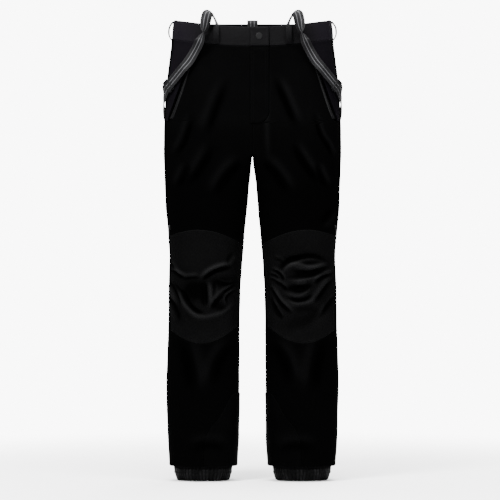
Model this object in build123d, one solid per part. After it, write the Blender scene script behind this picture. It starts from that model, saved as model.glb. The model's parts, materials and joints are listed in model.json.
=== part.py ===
from build123d import *
import math
import os

# Mountain trousers with braces: soft-shell legs, woven knee and ankle panels, five zips and inner gaiters.
# The frame has +Z up, the front of the trousers facing -Y and the wearer's left at +X.
# The origin is the middle of the waist opening. All sizes are in millimetres.

# ---------------------------------------------------------------- overall sizes
waist_half_width = 205.0
hip_half_width = 231.0
crotch_drop = 341.0          # waist opening down to the crotch
inseam = 803.0               # crotch down to the hem
knee_below_crotch = 338.0    # crotch down to the knee hinge
crotch_gap = 1.0             # each leg's inner wall stands this far from the middle plane
waist_front_depth = 80.0
waist_back_depth = 80.0
seat_depth = 124.0
crotch_front_depth = 100.0
crotch_back_depth = 110.0
front_slope = 0.098          # the front leans forward this much for each millimetre down
knee_outer, knee_inner = 218.0, 31.0
calf_outer, calf_inner = 225.0, 34.0
hem_outer, hem_inner = 216.0, 41.0
roundness = 2.25             # exponent of the outline: 2 is an ellipse, more is squarer

# ---------------------------------------------------------------- fabric
shell_cloth = 1.6
layer_gap = 0.3              # air between two layers of cloth
side_seam_y = -32.0          # the side seams sit this far in front of the sides
band_height = 50.0
rim_front, rim_side = -11.0, 11.0    # the rim dips in an arc at the front and is level round the back
band_cloth = 2.0
lining_cloth = 1.0

# ---------------------------------------------------------------- fly, waist tab and snap
fly_edge_x = -6.0            # free edge of the flap
fly_fold_x = 42.0            # the flap turns about this line
fly_length = 200.0           # below the waistband
fly_corner = 30.0            # radius of the flap's lower corner
fly_zip_x = 14.0
fly_zip_depth = 5.3          # zip tape behind the front surface
flap_stand = 1.4
flap_cloth = 1.6
tab_stand = 2.6
tab_cloth = 1.8
shield_depth = 9.2
shield_cloth = 1.0
snap_x = 17.0
snap_cap_radius = 8.5
snap_post_radius = 1.9
snap_bore_radius = 2.3

# ---------------------------------------------------------------- zips
tape_half_width = 9.0
tape_cloth = 0.7
coil_inner, coil_outer, coil_height = 0.5, 2.7, 1.65
slider_half_width = 4.2
slider_half_length = 6.0
slider_plate = 1.2
pull_length = 22.0
pull_half_width = 3.4
pull_thickness = 1.2
slot_half_width = 5.5
pocket_top_drop, pocket_bottom_drop = 112.0, 247.0
pocket_top_turn, pocket_bottom_turn = -55.0, -27.0
pocket_zip_depth = 6.0
vent_top_drop = 252.0
vent_bottom_above_knee = 145.0
vent_zip_room = 1.41         # air between the vent zip and the inside of the cloth, where it is least
hip_panel_drop = 249.0       # the hip panel ends at this level

bag_inner_x, bag_outer_x = 58.0, 140.0
bag_top_drop, bag_bottom_drop = 130.0, 310.0
bag_thickness, bag_cloth, bag_corner = 7.0, 0.6, 25.0

# ---------------------------------------------------------------- knees, ankles and gaiters
knee_panel_top, knee_panel_bottom = 137.0, 156.0     # above and below the knee hinge, at the middle
knee_top_side_drop, knee_bottom_side_rise = 18.0, 40.0
knee_back_half = 120.0
knee_axis_y = -5.0
guard_height = 188.0
guard_reach = 125.0          # how far the ankle guard reaches across the hem
guard_cloth = 1.2
facing_height = 25.0
gaiter_top = 184.0           # above the hem
gaiter_hem_drop = 38.0       # the elastic hem ends this far below the trouser hem
gaiter_cloth = 0.8
elastic_height = 30.0
elastic_thickness = 3.0
gaiter_half_width, gaiter_half_depth = 75.0, 50.0
cuff_half_width, cuff_half_depth = 66.0, 44.0

# ---------------------------------------------------------------- belt loops and braces
loop_width = 15.0
loop_cloth = 1.5
loop_x_front, loop_x_back = 93.0, 92.0
loop_stand_front, loop_stand_side = 8.0, 11.5
loop_gap = 1.1               # between a loop's flat ends and the curved band
strap_width = 28.0
strap_cloth = 1.4
centre_strap_stand, brace_end_stand = 3.5, 6.0
yoke_stand, yoke_cloth = 8.6, 1.6
strap_stand = 9.0
brace_x = 88.0               # the braces are anchored inside the front here
anchor_clearance = 2.0
adjuster_travel = 34.0
adjuster_bar = 2.4
adjuster_half_length = 8.5
adjuster_clearance = 0.5

# ---------------------------------------------------------------- levels
crotch_z = -crotch_drop
knee_z = crotch_z - knee_below_crotch
hem_z = crotch_z - inseam
belly_share = 0.79           # the front is straight down to this share of the crotch drop
front_angle = math.degrees(math.atan(front_slope))


def front_depth(level):
    """Depth of the straight front at a level."""
    return waist_front_depth - front_slope * level


def torso_row(share, widen, back, flat):
    """One outline of the torso: shares of the drop and of the widening, back depth and half of the flat."""
    level = -share * crotch_drop
    outer = waist_half_width + widen * (hip_half_width - waist_half_width)
    front = front_depth(level) if share <= belly_share else crotch_front_depth
    return dict(level=level, outer=outer, inner=None, front=front, back=back, centre=flat)


def leg_row(level, outer, inner, front, back, squareness):
    """One outline of a leg, with the squareness of its inner side."""
    centre = (outer + inner) / 2
    return dict(level=level, outer=outer, inner=inner, front=front, back=back, centre=centre,
                squareness=squareness)


def down_thigh(share):
    return crotch_z - share * knee_below_crotch


def down_shin(share):
    return knee_z + share * (hem_z - knee_z)


leg_centre = (hip_half_width + crotch_gap) / 2
TORSO = [
    torso_row(-0.08, -0.03, waist_back_depth - 4, 66),
    torso_row(0.15, 0.24, waist_back_depth + 10, 72),
    torso_row(0.32, 0.52, seat_depth - 18, 79),
    torso_row(0.50, 0.81, seat_depth - 4, 88),
    torso_row(belly_share, 0.96, seat_depth, 102),
    torso_row(1.0, 1.0, crotch_back_depth, leg_centre),
]
LEG = [
    leg_row(crotch_z, hip_half_width, crotch_gap, crotch_front_depth, crotch_back_depth, 8.0),
    leg_row(down_thigh(0.20), hip_half_width - 3, 8, 95, 98, 4.0),
    leg_row(down_thigh(0.40), hip_half_width - 5, 14, 89, 88, 3.0),
    leg_row(down_thigh(0.57), hip_half_width - 11, 20, 84, 80, 2.6),
    leg_row(down_thigh(0.77), knee_outer - 3, 25.5, 80, 72, 2.4),
    leg_row(knee_z, knee_outer, knee_inner, 78, 68, 2.4),
    leg_row(down_shin(0.27), knee_outer + 2, 33.5, 67, 74, 2.4),
    leg_row(down_shin(0.54), calf_outer, calf_inner, 61, 80, 2.4),
    leg_row(down_shin(0.85), calf_outer - 4, 36, 60, 74, 2.4),
    leg_row(hem_z, hem_outer, hem_inner, 58, 70, 2.4),
]
TURNS = [-75, -60, -45, -30, -15, 0, 15, 30, 45, 60, 75]


def bulge(turn, power):
    """Share of the half-width and of the depth at a turn round a squared ellipse."""
    across = math.cos(math.radians(turn)) ** (2 / power)
    along = abs(math.sin(math.radians(turn))) ** (2 / power)
    return across, math.copysign(along, turn)


def side_points(row, inset, inner=False):
    """Points round the outer or the inner side of an outline, from the front to the back."""
    power = row["squareness"] if inner else roundness
    reach = row["centre"] - row["inner"] if inner else row["outer"] - row["centre"]
    points = []
    for turn in TURNS:
        across, along = bulge(turn, power)
        depth = row["back"] - inset if turn > 0 else row["front"] - inset
        x = row["centre"] + (-1 if inner else 1) * (reach - inset) * across
        points.append((x, along * depth, row["level"]))
    return points


def side_edge(row, inset, inner=False):
    """Curve round one side of an outline, from its front flat to its back flat."""
    front = (row["centre"], inset - row["front"], row["level"])
    back = (row["centre"], row["back"] - inset, row["level"])
    turn = -1 if inner else 1
    return Spline([front, *side_points(row, inset, inner), back], tangents=[(turn, 0, 0), (-turn, 0, 0)])


def torso_solid(inset):
    """The torso's outer form, taken in by inset."""
    faces = []
    for row in TORSO:
        right = side_edge(row, inset)
        left = right.mirror(Plane.YZ)
        wire = Wire([right, Line(right @ 1, left @ 1), left, Line(left @ 0, right @ 0)])
        faces.append(Face(wire))
    return loft(faces, ruled=True)


def leg_solid(inset):
    """The left leg's outer form, taken in by inset."""
    faces = [Face(Wire([side_edge(row, inset), side_edge(row, inset, inner=True)])) for row in LEG]
    return loft(faces, ruled=True)


def rows_at(level):
    """The outline at any level, between the two nearest rows."""
    rows = TORSO if level > crotch_z else LEG
    for upper, lower in zip(rows, rows[1:]):
        if level >= lower["level"]:
            break
    share = (upper["level"] - level) / (upper["level"] - lower["level"])
    keys = [key for key in ("outer", "front", "back", "centre") if upper[key] is not None]
    return {key: upper[key] + share * (lower[key] - upper[key]) for key in keys}


def skin(level, turn, stand=0.0):
    """A point on the body at a level and turn, moved out by stand, and the outward direction there."""
    row = rows_at(level)
    across, along = bulge(turn, roundness)
    reach = row["outer"] - row["centre"]
    depth = row["back"] if turn > 0 else row["front"]
    point = Vector(row["centre"] + reach * across, along * depth, level)
    steepness = math.copysign(abs(along) ** (roundness - 1), along)
    out = Vector(across ** (roundness - 1) / reach, steepness / depth, 0).normalized()
    return point + out * stand, out


def skin_plane(level, turn, stand=0.0):
    """The plane that touches the body at a level and turn: X across, Y up the body, Z out."""
    step = 5.0
    above, below = skin(level + step, turn)[0], skin(level - step, turn)[0]
    up = (above - below).normalized()
    point, level_out = skin(level, turn)
    across = up.cross(level_out).normalized()
    out = across.cross(up)
    return Plane(origin=point + out * stand, x_dir=across, z_dir=out)


def block(low, high):
    """A box between two corners."""
    size = [b - a for a, b in zip(low, high)]
    return Pos(*low) * Box(*size, align=(Align.MIN, Align.MIN, Align.MIN))


def local_block(plane, low, high):
    """A box between two corners given in a plane's own axes."""
    return plane * block(low, high)


def mirrored(shape):
    return shape.mirror(Plane.YZ)


def one(shape):
    """The largest solid of a shape, so that a stray sliver of a cut is left out."""
    return max(shape.solids(), key=lambda solid: solid.volume)


FAR = 400.0
BOTTOM = hem_z - 200
rim_dip = rim_side - rim_front
rim_radius = (waist_half_width ** 2 + rim_dip ** 2) / (2 * rim_dip)
fly_plane = Plane(origin=(0, -waist_front_depth, 0), x_dir=(1, 0, 0),
                  z_dir=(0, -math.cos(math.radians(front_angle)), math.sin(math.radians(front_angle))))


def rim_level(x, back=False):
    """Level of the waistband's top edge."""
    if back or abs(x) > waist_half_width:
        return rim_side
    return rim_front + rim_radius - math.sqrt(rim_radius ** 2 - x ** 2)


def above_rim(drop):
    """All the space above the waistband's top edge, moved down by drop."""
    w = waist_half_width
    points = [(-FAR, rim_side - drop), (-w, rim_side - drop), (0, rim_front - drop), (w, rim_side - drop),
              (FAR, rim_side - drop), (FAR, FAR), (-FAR, FAR)]
    outline = [Line(points[0], points[1]), ThreePointArc(*points[1:4])]
    outline += [Line(start, end) for start, end in zip(points[3:], points[4:] + points[:1])]
    front = extrude(Plane.XZ * Face(Wire(outline)), amount=FAR)
    return front + block((-FAR, 0, rim_side - drop), (FAR, FAR, FAR))


above_band = above_rim(0)
above_panels = above_rim(band_height)
band_zone = above_panels - above_band
front_side = block((-FAR, -FAR, BOTTOM), (FAR, side_seam_y, FAR))
left_side = block((0, -FAR, BOTTOM), (FAR, FAR, FAR))

# Heights on the fly plane: its own Y runs up the front.
lean = math.cos(math.radians(front_angle))
tab_top = rim_front / lean
tab_bottom = (rim_front - band_height) / lean
fly_bottom = tab_bottom - fly_length
nodes = {}


# ---------------------------------------------------------------- cloth layers
torso_outer = torso_solid(0)
torso_shell = torso_outer - torso_solid(shell_cloth)
leg_outer = leg_solid(0)
leg_shell = leg_outer - leg_solid(shell_cloth)


def knee_mask():
    """Front view of the knee panel, pushed through the leg."""
    reach_in, reach_out, middle = -40.0, 290.0, 125.0
    top, bottom = knee_z + knee_panel_top, knee_z - knee_panel_bottom
    top_side, bottom_side = top - knee_top_side_drop, bottom + knee_bottom_side_rise
    corners = [(reach_in, top_side), (middle, top), (reach_out, top_side),
               (reach_out, bottom_side), (middle, bottom), (reach_in, bottom_side)]
    outline = [ThreePointArc(*corners[:3]), Line(corners[2], corners[3]), ThreePointArc(*corners[3:]),
               Line(corners[5], corners[0])]
    face = Plane.XZ * Face(Wire(outline))
    return extrude(face, amount=FAR, both=True)


knee_zone = knee_mask()
knee_back_zone = block((-FAR, -FAR, knee_z - knee_back_half), (FAR, FAR, knee_z + knee_back_half))
above_knee = block((-FAR, -FAR, knee_z), (FAR, FAR, FAR))
vent_zone_bottom = knee_z + vent_bottom_above_knee


def zip_plane(top_level, bottom_level, top_turn, bottom_turn, depth):
    """Plane of a zip between two points of the body: X across it, Y up along it, Z out. Also its length."""
    top, top_out = skin(top_level, top_turn, -depth)
    bottom, bottom_out = skin(bottom_level, bottom_turn, -depth)
    up = (top - bottom).normalized()
    out = (top_out + bottom_out).normalized()
    across = up.cross(out).normalized()
    return Plane(origin=bottom, x_dir=across, z_dir=across.cross(up)), (top - bottom).length


def turn_at_seam(level):
    """The turn at which the side seam crosses a level."""
    along = -side_seam_y / rows_at(level)["front"]
    return -math.degrees(math.asin(along ** (roundness / 2)))


def hollow_under_line(top_level, bottom_level):
    """How far the body dips below a straight line down its side seam, at the outlines between two levels."""
    top, bottom = [skin(level, turn_at_seam(level))[0].X for level in (top_level, bottom_level)]
    dips = []
    for row in TORSO + LEG:
        if bottom_level < row["level"] < top_level:
            share = (top_level - row["level"]) / (top_level - bottom_level)
            seam = skin(row["level"], turn_at_seam(row["level"]))[0].X
            dips.append(top + share * (bottom - top) - seam)
    return max(dips)


pocket_plane, pocket_length = zip_plane(-pocket_top_drop, -pocket_bottom_drop, pocket_top_turn,
                                        pocket_bottom_turn, pocket_zip_depth)
vent_zip_depth = shell_cloth + vent_zip_room + hollow_under_line(-vent_top_drop, vent_zone_bottom)
vent_plane, vent_length = zip_plane(-vent_top_drop, vent_zone_bottom, turn_at_seam(-vent_top_drop),
                                    turn_at_seam(vent_zone_bottom), vent_zip_depth)
slot_reach = 25.0
slot_end = 3.0
pocket_slot = local_block(pocket_plane, (-slot_half_width, -slot_end, -coil_height),
                          (slot_half_width, pocket_length + slot_end, slot_reach))
vent_slot = local_block(vent_plane, (-slot_half_width, -slot_end, -coil_height),
                        (slot_half_width, vent_length + slot_end, slot_reach))
hip_zone = local_block(pocket_plane, (0, -FAR, -FAR), (FAR, FAR, FAR)) & block(
    (0, -FAR, -hip_panel_drop), (FAR, side_seam_y, FAR))


def make_panels():
    """The left side's cloth panels, cut from the torso and leg shells."""
    torso_half = (torso_shell & left_side) - above_panels
    front_torso = torso_half & front_side
    seat_torso = torso_half - front_side
    front_leg = leg_shell & front_side
    back_leg = leg_shell - front_side
    panels = {
        "hip_panel": (front_torso & hip_zone) - pocket_slot,
        "front_panel": (front_torso - hip_zone - pocket_slot - vent_slot)
        + ((front_leg & above_knee) - knee_zone - vent_slot),
        "seat_panel": (seat_torso - vent_slot) + ((back_leg & above_knee) - knee_back_zone - vent_slot),
        "knee_panel": front_leg & knee_zone,
        "knee_back_panel": back_leg & knee_back_zone,
        "shin_panel": front_leg - knee_zone - above_knee,
        "calf_panel": back_leg - knee_back_zone - above_knee,
    }
    return {name: one(shape) for name, shape in panels.items()}


for name, panel in make_panels().items():
    nodes[name + "_left"] = panel
    nodes[name + "_right"] = mirrored(panel)


def fly_block(low_x, high_x, bottom, corner, low, high):
    """A slab on the fly plane whose lower corner, on the fold side, is round."""
    slab = local_block(fly_plane, (low_x, bottom, low), (high_x, tab_bottom - layer_gap, high))
    edges = slab.edges().filter_by(Axis((0, 0, 0), fly_plane.z_dir))
    round_edge = min(edges, key=lambda edge: edge.center().Z * 10 - edge.center().X)
    return fillet(round_edge, corner)


fly_opening = fly_block(0, fly_fold_x + layer_gap, fly_bottom - layer_gap, fly_corner, -20, 20)
fly_opening += local_block(fly_plane, (0, tab_bottom - 2, -20), (fly_fold_x + layer_gap, FAR, 20))
nodes["front_panel_left"] = one(nodes["front_panel_left"] - fly_opening)


def ankle_guard():
    """A woven patch over the inner ankle, outside the leg."""
    cover = leg_solid(-layer_gap - guard_cloth) - leg_solid(-layer_gap)
    corner_x, low, high = -20.0, hem_z - 30, hem_z + guard_height
    outline = Wire([Line((corner_x, low), (corner_x, high)),
                    Line((corner_x, high), (hem_inner, high)),
                    ThreePointArc((hem_inner, high), (guard_reach - 24, hem_z + 0.45 * guard_height),
                                  (guard_reach, hem_z)),
                    Line((guard_reach, hem_z), (guard_reach, low)),
                    Line((guard_reach, low), (corner_x, low))])
    return one(cover & extrude(Plane.XZ * Face(outline), amount=FAR, both=True))


def hem_facing():
    """The turned-up hem inside the leg."""
    inset = shell_cloth + layer_gap
    ring = leg_solid(inset) - leg_solid(inset + lining_cloth)
    return one(ring & block((-FAR, -FAR, hem_z), (FAR, FAR, hem_z + facing_height)))


gaiter_centre = ((hem_outer + hem_inner) / 2, (70 - 58) / 2)


def gaiter_ring(levels, thickness):
    """A tube through ellipses: level, half-width, half-depth and the middle of each."""
    def tube(inset):
        faces = []
        for level, half_width, half_depth, centre in levels:
            faces.append(Pos(*centre, level) * Ellipse(half_width - inset, half_depth - inset).face())
        return loft(faces, ruled=True)
    return one(tube(0) - tube(thickness))


def gaiter():
    """The inner sleeve: sewn in at the calf and drawn in towards the ankle."""
    elastic_top = hem_z - gaiter_hem_drop + elastic_height
    leg_inset = shell_cloth + layer_gap + 4
    top = rows_at(hem_z + gaiter_top)
    top_centre = (top["centre"], (top["back"] - top["front"]) / 2)
    top_half_width = top["outer"] - top["centre"] - leg_inset
    top_half_depth = (top["back"] + top["front"]) / 2 - leg_inset
    return gaiter_ring([(hem_z + gaiter_top, top_half_width, top_half_depth, top_centre),
                        (hem_z + 30, gaiter_half_width + 3, gaiter_half_depth + 2, gaiter_centre),
                        (elastic_top, gaiter_half_width, gaiter_half_depth, gaiter_centre)], gaiter_cloth)


def gaiter_elastic():
    """The gathered elastic hem that shows below the trouser hem."""
    low = hem_z - gaiter_hem_drop
    middle_width = gaiter_half_width - 2
    return gaiter_ring([(low, cuff_half_width, cuff_half_depth, gaiter_centre),
                        (low + elastic_height / 2, middle_width, gaiter_half_depth - 1, gaiter_centre),
                        (low + elastic_height, gaiter_half_width, gaiter_half_depth, gaiter_centre)],
                       elastic_thickness)


for name, shape in (("ankle_guard", ankle_guard()), ("hem_facing", hem_facing()),
                    ("gaiter", gaiter()), ("gaiter_elastic", gaiter_elastic())):
    nodes[name + "_left"] = shape
    nodes[name + "_right"] = mirrored(shape)


# ---------------------------------------------------------------- waistband, fly and snap
def make_waistband():
    """A band that is open under the tab, where its right end runs on as the underlap."""
    ring = (torso_outer - torso_solid(band_cloth)) & band_zone
    underlap_end = fly_fold_x - 4
    gap = local_block(fly_plane, (underlap_end, -FAR, -20), (fly_fold_x + layer_gap, FAR, 20))
    return one(ring - gap)


def make_lining():
    """The soft band inside the waistband, which stops either side of the fly."""
    inset = band_cloth + layer_gap
    ring = (torso_solid(inset) - torso_solid(inset + lining_cloth)) & band_zone
    gap = local_block(fly_plane, (fly_edge_x, -FAR, -20), (fly_fold_x + 3, FAR, 20))
    return one(ring - gap)


def fly_plate(low_x, high_x, bottom, top, stand, thickness):
    return local_block(fly_plane, (low_x, bottom, stand), (high_x, top, stand + thickness))


def make_shield():
    """The guard behind the fly zip, turned forward along its right edge to meet the front panel."""
    edge, top, back = fly_edge_x - 6, tab_bottom - 1, -shield_depth - shield_cloth
    plate = fly_plate(edge, fly_fold_x - 8, fly_bottom, top, back, shield_cloth)
    turned = fly_plate(edge, edge + shield_cloth, fly_bottom, top, back, -back - shell_cloth - layer_gap)
    return one(plate + turned)


snap_height = (tab_top + tab_bottom) / 2
snap_plane = fly_plane.shift_origin(fly_plane.from_local_coords((snap_x, snap_height, 0)))
snap_flange_radius = 6.0


def disc(radius, low, high):
    """A round plate on the snap's axis, between two stands."""
    plate = Cylinder(radius, high - low, align=(Align.CENTER, Align.CENTER, Align.MIN))
    return snap_plane * (Pos(0, 0, low) * plate)


def make_snap():
    """Cap and socket on the tab, stud and rivet on the underlap."""
    tab_face = tab_stand + tab_cloth
    cap = disc(snap_cap_radius, tab_face, tab_face + 1.6)
    cap = fillet(cap.faces().sort_by(Axis((0, 0, 0), fly_plane.z_dir))[-1].edges(), 1.1)
    socket = disc(snap_flange_radius, tab_stand - 1.8, tab_stand) - disc(snap_bore_radius, 0, tab_stand)
    stud = disc(snap_flange_radius, 0, 0.5) + disc(snap_post_radius, 0.5, tab_stand - 0.3)
    rivet = disc(snap_flange_radius, -band_cloth - 0.6, -band_cloth)
    shapes = {"snap_cap": cap, "snap_socket": socket, "snap_stud": stud, "snap_rivet": rivet}
    return {name: one(shape) for name, shape in shapes.items()}


nodes["waistband"] = make_waistband()
nodes["waistband_lining"] = make_lining()
nodes["waist_tab"] = one(fly_plate(fly_edge_x, fly_fold_x, tab_bottom, tab_top, tab_stand, tab_cloth))
nodes["fly_flap"] = one(fly_block(fly_edge_x, fly_fold_x, fly_bottom, fly_corner, flap_stand,
                                  flap_stand + flap_cloth))
nodes["fly_shield"] = make_shield()
nodes.update(make_snap())


# ---------------------------------------------------------------- zips
def zip_chain(plane, length):
    """Two tapes, each with its half of the coil, as four solids."""
    solids = []
    for side in (-1, 1):
        for low_x, high_x, low_z, high_z in ((coil_inner, tape_half_width, -tape_cloth / 2, tape_cloth / 2),
                                             (coil_inner, coil_outer, tape_cloth / 2, coil_height)):
            xs = sorted((side * low_x, side * high_x))
            solids.append(local_block(plane, (xs[0], 0, low_z), (xs[1], length, high_z)))
    return Compound([one(solid) for solid in solids])


coil_room = 0.4              # air between the coil and the slider
top_plate_low = coil_height + coil_room
top_plate_high = top_plate_low + slider_plate
bridge_width, bridge_opening, bridge_wall = 1.1, 1.8, 1.0
pull_axis_height = top_plate_high + bridge_opening / 2


def slider_body(plane, height):
    """Two plates joined by the divider, with skirts beside the coil and a bridge for the pull."""
    width, half = slider_half_width, slider_half_length
    tape_room = tape_cloth / 2 + coil_room
    body = block((-width, height - half, -tape_room - slider_plate), (width, height + half, -tape_room))
    body += block((-width, height - half, top_plate_low), (width, height + half, top_plate_high))
    body += block((-coil_inner / 2, height + half - 3, -tape_room),
                  (coil_inner / 2, height + half, top_plate_low))
    for side in (-1, 1):
        xs = sorted((side * (coil_outer + coil_room), side * width))
        body += block((xs[0], height - half, tape_room), (xs[1], height + half, top_plate_low))
    corners = body.edges().filter_by(Axis.Z).filter_by(lambda edge: abs(edge.center().X) > width - 0.01)
    body = fillet(corners, 1.5)
    bridge_top = top_plate_high + bridge_opening + bridge_wall
    bridge = block((-bridge_width, height - 4, top_plate_high), (bridge_width, height + 4, bridge_top))
    bridge -= block((-bridge_width, height - 3, top_plate_high),
                    (bridge_width, height + 3, top_plate_high + bridge_opening))
    return one(plane * (body + bridge))


def pull_tab(plane, height):
    """A pull that hangs down from the bridge: a crossbar, two arms and a rounded tab."""
    arm_in, arm_out, half = bridge_width + 0.4, bridge_width + 1.6, pull_thickness / 2
    bar = Pos(0, height, pull_axis_height) * Rot(0, 90, 0) * Cylinder(half, 2 * arm_out)
    shape = bar
    for side in (-1, 1):
        xs = sorted((side * arm_in, side * arm_out))
        shape += block((xs[0], height - 8, pull_axis_height - half), (xs[1], height, pull_axis_height + half))
    tab = block((-pull_half_width, height - pull_length, pull_axis_height - half),
                (pull_half_width, height - 7, pull_axis_height + half))
    shape += fillet(tab.edges().filter_by(Axis.Z), 2.0)
    return one(plane * shape)


def add_zip(name, plane, length, rest_height):
    for side, flip in (("left", lambda s: s), ("right", mirrored)):
        nodes[f"{name}_zip_{side}"] = flip(zip_chain(plane, length))
        nodes[f"{name}_slider_{side}"] = flip(slider_body(plane, rest_height))
        nodes[f"{name}_pull_{side}"] = flip(pull_tab(plane, rest_height))


stop_room = 2.0
fly_zip_length = fly_length - 22
fly_zip_plane = fly_plane.shift_origin(fly_plane.from_local_coords(
    (fly_zip_x, tab_bottom - 6 - fly_zip_length, 0))).offset(-fly_zip_depth)
low_rest = slider_half_length + stop_room
pull_rest = pull_length - slot_end + 0.5     # here a pull still ends inside its slot
fly_rest, fly_travel = fly_zip_length - low_rest, fly_zip_length - 2 * low_rest
pocket_rest, pocket_travel = pocket_length - low_rest, pocket_length - low_rest - pull_rest
vent_rest, vent_travel = low_rest, vent_length - 2 * low_rest
nodes["fly_zip"] = zip_chain(fly_zip_plane, fly_zip_length)
nodes["fly_slider"] = slider_body(fly_zip_plane, fly_rest)
nodes["fly_pull"] = pull_tab(fly_zip_plane, fly_rest)
add_zip("pocket", pocket_plane, pocket_length, pocket_rest)
add_zip("vent", vent_plane, vent_length, vent_rest)


def pocket_bag():
    """A flat pouch of thin mesh behind the front panel, open towards the pocket zip."""
    row = rows_at(-bag_top_drop)
    share = (bag_outer_x - row["centre"]) / (row["outer"] - row["centre"])
    front_y = 2.5 + shell_cloth - row["front"] * (1 - share ** roundness) ** (1 / roundness)
    low = Vector(bag_inner_x, front_y, -bag_bottom_drop)
    high = Vector(bag_outer_x, front_y + bag_thickness, -bag_top_drop)
    wall = Vector(bag_cloth, bag_cloth, bag_cloth)
    pouch = block(low, high)
    room = block(low + wall, high + Vector(bag_cloth, -bag_cloth, -bag_cloth))
    pouch = fillet(pouch.edges().filter_by(Axis.Y).group_by(Axis.Z)[0], bag_corner)
    room_corner = room.edges().filter_by(Axis.Y).group_by(Axis.Z)[0].sort_by(Axis.X)[0]
    return one(pouch - fillet(room_corner, bag_corner - bag_cloth))


nodes["pocket_bag_left"] = pocket_bag()
nodes["pocket_bag_right"] = mirrored(nodes["pocket_bag_left"])


# ---------------------------------------------------------------- belt loops
def belt_loop(plane, stand):
    """A strip that bows off the waistband; the plane lies on the band's middle."""
    half, inner_half = band_height / 2, band_height / 2 - 2.5
    outer = [ThreePointArc((0, -half), (stand, 0), (0, half)), Line((0, half), (0, -half))]
    inner = [ThreePointArc((0, -inner_half), (stand - loop_cloth, 0), (0, inner_half)),
             Line((0, inner_half), (0, -inner_half))]
    profile = Face(Wire(outer)) - Face(Wire(inner))
    side = Plane(origin=plane.origin + plane.z_dir * loop_gap, x_dir=plane.z_dir, z_dir=-plane.x_dir)
    return one(extrude(side * profile, amount=loop_width / 2, both=True))


def band_plane_at(x, back=False, stand=0.0):
    """The plane that touches the waistband's middle at x, on its front or its back."""
    level = rim_level(x, back) - band_height / 2
    row = rows_at(level)
    share = max(x - row["centre"], 0) / (row["outer"] - row["centre"])
    turn = 90 - math.degrees(math.asin(share ** (roundness / 2)))
    plane = skin_plane(level, turn if back else -turn, stand)
    origin = Vector(x, plane.origin.Y, plane.origin.Z)
    return Plane(origin=origin, x_dir=plane.x_dir, z_dir=plane.z_dir)


side_turn = 4.0
loops = [belt_loop(band_plane_at(loop_x_front), loop_stand_front),
         belt_loop(band_plane_at(loop_x_back, back=True), loop_stand_front),
         belt_loop(skin_plane(rim_side - band_height / 2, side_turn), loop_stand_side)]
nodes["belt_loops"] = Compound([*loops, *[mirrored(loop) for loop in loops]])


# ---------------------------------------------------------------- braces
def smooth(rows, steps):
    """Extra rows between those given, on a curve that passes through all of them."""
    result = []
    for i in range(len(rows) - 1):
        before, start, end, after = rows[max(i - 1, 0)], rows[i], rows[i + 1], rows[min(i + 2, len(rows) - 1)]
        for k in range(steps):
            t = k / steps
            row = []
            for a, b, c, d in zip(before, start, end, after):
                bend = 2 * a - 5 * b + 4 * c - d + t * (3 * (b - c) + d - a)
                row.append(b + 0.5 * t * (c - a + t * bend))
            result.append(row)
    return result + [list(rows[-1])]


def ribbon(stations, steps=2):
    """A strap through stations: each is a point and the way that its face looks."""
    rows = smooth([(*point, *face) for point, face in stations], steps)
    points = [Vector(*row[:3]) for row in rows]
    sections = []
    for i, (point, row) in enumerate(zip(points, rows)):
        before, after = points[max(i - 1, 0)], points[min(i + 1, len(points) - 1)]
        along = (after - before).normalized()
        across = along.cross(Vector(*row[3:])).normalized()
        section = Plane(origin=point, x_dir=across, z_dir=along)
        sections.append(section * Rectangle(strap_width, strap_cloth).face())
    return one(loft(sections, ruled=True))


adjuster_point, adjuster_out = skin(-161, -28.7, strap_stand)
run_top_point, run_top_out = skin(-127, -45.9, strap_stand)
run_up = (run_top_point - adjuster_point).normalized()
run_out = (adjuster_out + run_top_out).normalized()
run_across = run_up.cross(run_out).normalized()
run_out = run_across.cross(run_up)
adjuster_plane = Plane(origin=adjuster_point, x_dir=run_across, z_dir=run_out)
run_shifts = (adjuster_travel + 32, adjuster_travel + 14, -12, -24)    # along the strap's straight stretch


def on_skin(rows):
    """Stations that lie off the body: level, turn and stand of each."""
    stations = []
    for level, turn, stand in rows:
        point, out = skin(level, turn, stand)
        stations.append((tuple(point), tuple(-out)))
    return stations


def brace_stations():
    """The left brace: from its anchor inside the front, over the band and round the hip to the back yoke."""
    top = Vector(brace_x, -waist_front_depth, rim_front)
    edge_on = strap_width / 2    # where the strap turns edge-on to the band it keeps this much further in
    loop = [
        ((0, 10, -35), (0, -1, 0)), ((0, 13, -19), (-0.4, -1, 0)),
        ((1, edge_on + 6.5, -4), (-1, -0.5, 0)), ((6, edge_on + 3.5, 12), (-1, -0.2, 0.2)),
        ((12, 5, 26), (-0.9, -0.2, 0.5)), ((19, -1, 35), (-0.6, -0.5, 1)),
        ((24, -8, 37), (0, -0.7, 1)), ((28, -13, 31), (0.1, -1, 0.4)), ((31, -16, 19), (0, -1, 0.1)),
        ((34, -18, 4), (-0.4, -1, 0)), ((37, -20, -9), (-1, -0.5, 0)), ((40, -21, -19), (-1, 0.4, 0)),
        ((43, -21, -29), (-0.7, 1, 0)), ((48, -20, -41), (-0.3, 1, 0.1)),
    ]
    stations = [(tuple(top + Vector(*shift)), face) for shift, face in loop]
    stations += on_skin([(-72, -63, 10.0), (-98, -53, 9.0)])
    stations += [(tuple(adjuster_point + run_up * shift), tuple(-run_out)) for shift in run_shifts]
    stations += on_skin([(-200, -3, 7.0), (-228, 15, 6.0), (-256, 30, 6.0), (-280, 43, 6.0), (-294, 54, 6.0),
                         (-297, 63, 6.0), (-290, 71, 6.0), (-272, 78, 6.0), (-240, 83, 6.0)])
    for x, level in ((78, -205), (64, -165), (50, -125), (37, -85), (25, -48), (18, -24)):
        stations.append(((x, rows_at(level)["back"] + brace_end_stand, level), (0, -1, 0)))
    return stations


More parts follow.
